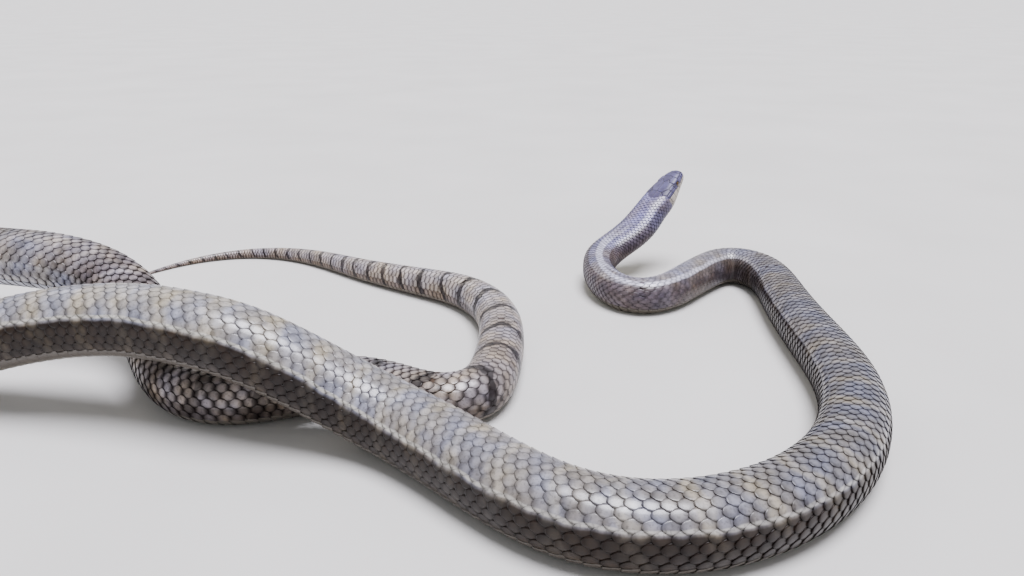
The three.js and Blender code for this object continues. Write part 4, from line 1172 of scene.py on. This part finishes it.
scalePlate = makePlate("scalePlate", scaleShape)
roots, cells = scaleRoots()
scalePieces = {"napeScales": (0, 330, "head_skin"), "frontScales": (330, 1300, "body_skin"),
               "middleScales": (1300, 2300, "body_skin"), "rearScales": (2300, 3370, "body_skin"),
               "tailScales": (3370, bodyEnd, "tail_skin")}
for number, (pieceName, (start, end, slot)) in enumerate(scalePieces.items()):
    mine = (roots[:, 0] >= start) & (roots[:, 0] < end)
    layPlates(pieceName, slot, roots[mine], cells[mine], scalePlate, materials["scale"],
              scaleRows["seed"] + number)

# Throat: small scales between the chin shields and the first scutes.
throatForm = {"from": 37, "to": 66, "pitch": 4.6, "rows": 11, "overlap": 1.1, "seed": 31}


def throatRoots():
    roots, cells = [], []
    width = 2 * (1 - scaleRows["beltEdge"]) / throatForm["rows"]
    for n in range(int((throatForm["to"] - throatForm["from"]) / throatForm["pitch"] * 2)):
        s = throatForm["from"] + n * throatForm["pitch"] / 2
        for row in range(throatForm["rows"]):
            if (row + n) % 2 == 0:
                roots.append([s, scaleRows["beltEdge"] + width * (row + 0.5)])
                cells.append([throatForm["pitch"] * throatForm["overlap"], width])
    return np.array(roots), np.array(cells)


layPlates("throatScales", "throat_skin", *throatRoots(), scalePlate, materials["scute"],
          throatForm["seed"])

# Scutes across the belly, one to a pitch, single to just behind the vent and paired from there on.
scuteShape = {
    "rows": [[0.0, 1.0, -0.25], [0.3, 1.0, 0.2], [0.7, 1.0, 0.66], [1.0, 1.0, 0.9], [1.2, 0.985, 1.0],
             [1.27, 0.965, 0.98]],
    "halfWidth": 1.0, "columns": 22, "crown": 0.0, "skirt": 0.45, "bow": 0.12,
}
pairShape = {
    "rows": [[0.0, 0.9, -0.25], [0.3, 1.0, 0.2], [0.7, 1.0, 0.7], [1.0, 0.92, 0.9], [1.18, 0.72, 1.0],
             [1.26, 0.45, 1.0]],
    "halfWidth": 1.0, "columns": 8, "crown": 0.1, "skirt": 0.45,
}
scuteForm = {"first": 62, "pairedFrom": 3440, "last": 10, "pairOverlap": 1.08, "seed": 41,
             "pairSeed": 43}
scutePlate, pairPlate = makePlate("scutePlate", scuteShape), makePlate("pairPlate", pairShape)
scuteStations = stationOf(np.arange(int(stationCount)))
scuteStations = scuteStations[(scuteStations > scuteForm["first"])
                              & (scuteStations < bodyEnd - scuteForm["last"])]
single = scuteStations[scuteStations < scuteForm["pairedFrom"]]
halfBelt = 1 - scaleRows["scuteEdge"]
layPlates("bellyScutes", "throat_skin", np.column_stack([single, np.ones(len(single))]),
          np.column_stack([pitchAt(single), np.full(len(single), halfBelt)]),
          scutePlate, materials["scute"], scuteForm["seed"])
paired = scuteStations[scuteStations >= scuteForm["pairedFrom"]]
pairRoots = [np.column_stack([paired + shift * pitchAt(paired),
                              np.full(len(paired), 1 + sideways * halfBelt / 2)])
             for shift, sideways in ((0, -1), (0.5, 1))]
pairCells = np.column_stack([np.tile(pitchAt(paired), 2),
                             np.full(2 * len(paired), halfBelt / 2 * scuteForm["pairOverlap"])])
layPlates("underTailScutes", "tail_skin", np.concatenate(pairRoots), pairCells, pairPlate,
          materials["scute"], scuteForm["pairSeed"])

# Floor and soft studio light.
stageForm = {"floor": 60, "floorGap": 0.0002, "paint": [(0.3, "#d9d7d3"), (0.7, "#e1dfdb")],
             "paintNoise": {"Scale": 3.0, "Detail": 3.0}, "rough": 0.85,
             "world": "#eef1f6", "worldStrength": 0.5,
             # how bright the backdrop looks beyond the edge of the floor
             "backdrop": 1.7,
             "lamps": {"skylight": (6.4, 36, (2, 8, 0), "#f6f5ff"),
                       "frontFill": (0.35, 30, (-52, 0, 35), "#fff4e6")}}


def makeFloor():
    half = stageForm["floor"] / 2
    corners = [(-half, -half, 0), (half, -half, 0), (half, half, 0), (-half, half, 0)]
    mesh = newMesh("floor", corners, [(0, 1, 2, 3)])
    material, tree, place = startMaterial("matt pale plaster floor")
    cloud = addNode(tree, "ShaderNodeTexNoise", inputs={"Vector": place, **stageForm["paintNoise"]})
    painted = addNode(tree, "ShaderNodeValToRGB", {"stops": stageForm["paint"]}, [cloud])
    endMaterial(tree, {"Base Color": painted, "Roughness": stageForm["rough"]})
    floor = newObject("floor", mesh, material)
    floor.location = (0, 0, -stageForm["floorGap"])


# A lamp far away: its strength, how wide it looks, which way it is turned, and its tint.
def addLamp(name, strength, width, turn, tint):
    data = bpy.data.lights.new(name, "SUN")
    data.energy = strength
    data.angle = math.radians(width)
    data.color = colour(tint)[:3]
    light = bpy.data.objects.new(name, data)
    light.rotation_euler = [math.radians(value) for value in turn]
    bpy.context.scene.collection.objects.link(light)


makeFloor()
for lampName, lamp in stageForm["lamps"].items():
    addLamp(lampName, *lamp)
world = bpy.data.worlds.new("studio")
world.use_nodes = True
background = world.node_tree.nodes["Background"]
background.inputs["Color"].default_value = colour(stageForm["world"])
seen = addNode(world.node_tree, "ShaderNodeLightPath", output="Is Camera Ray")
strength = addNode(world.node_tree, "ShaderNodeMapRange", inputs={
    "Value": seen, "To Min": stageForm["worldStrength"], "To Max": stageForm["backdrop"]})
world.node_tree.links.new(strength, background.inputs["Strength"])
bpy.context.scene.world = world

fleshNodes = [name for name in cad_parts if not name.startswith("eye")]
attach(skin, "root")
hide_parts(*fleshNodes)
for piece, slot in coat:
    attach(piece, "root")
for name, piece in eyes.items():
    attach(piece, "root")
    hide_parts(name)
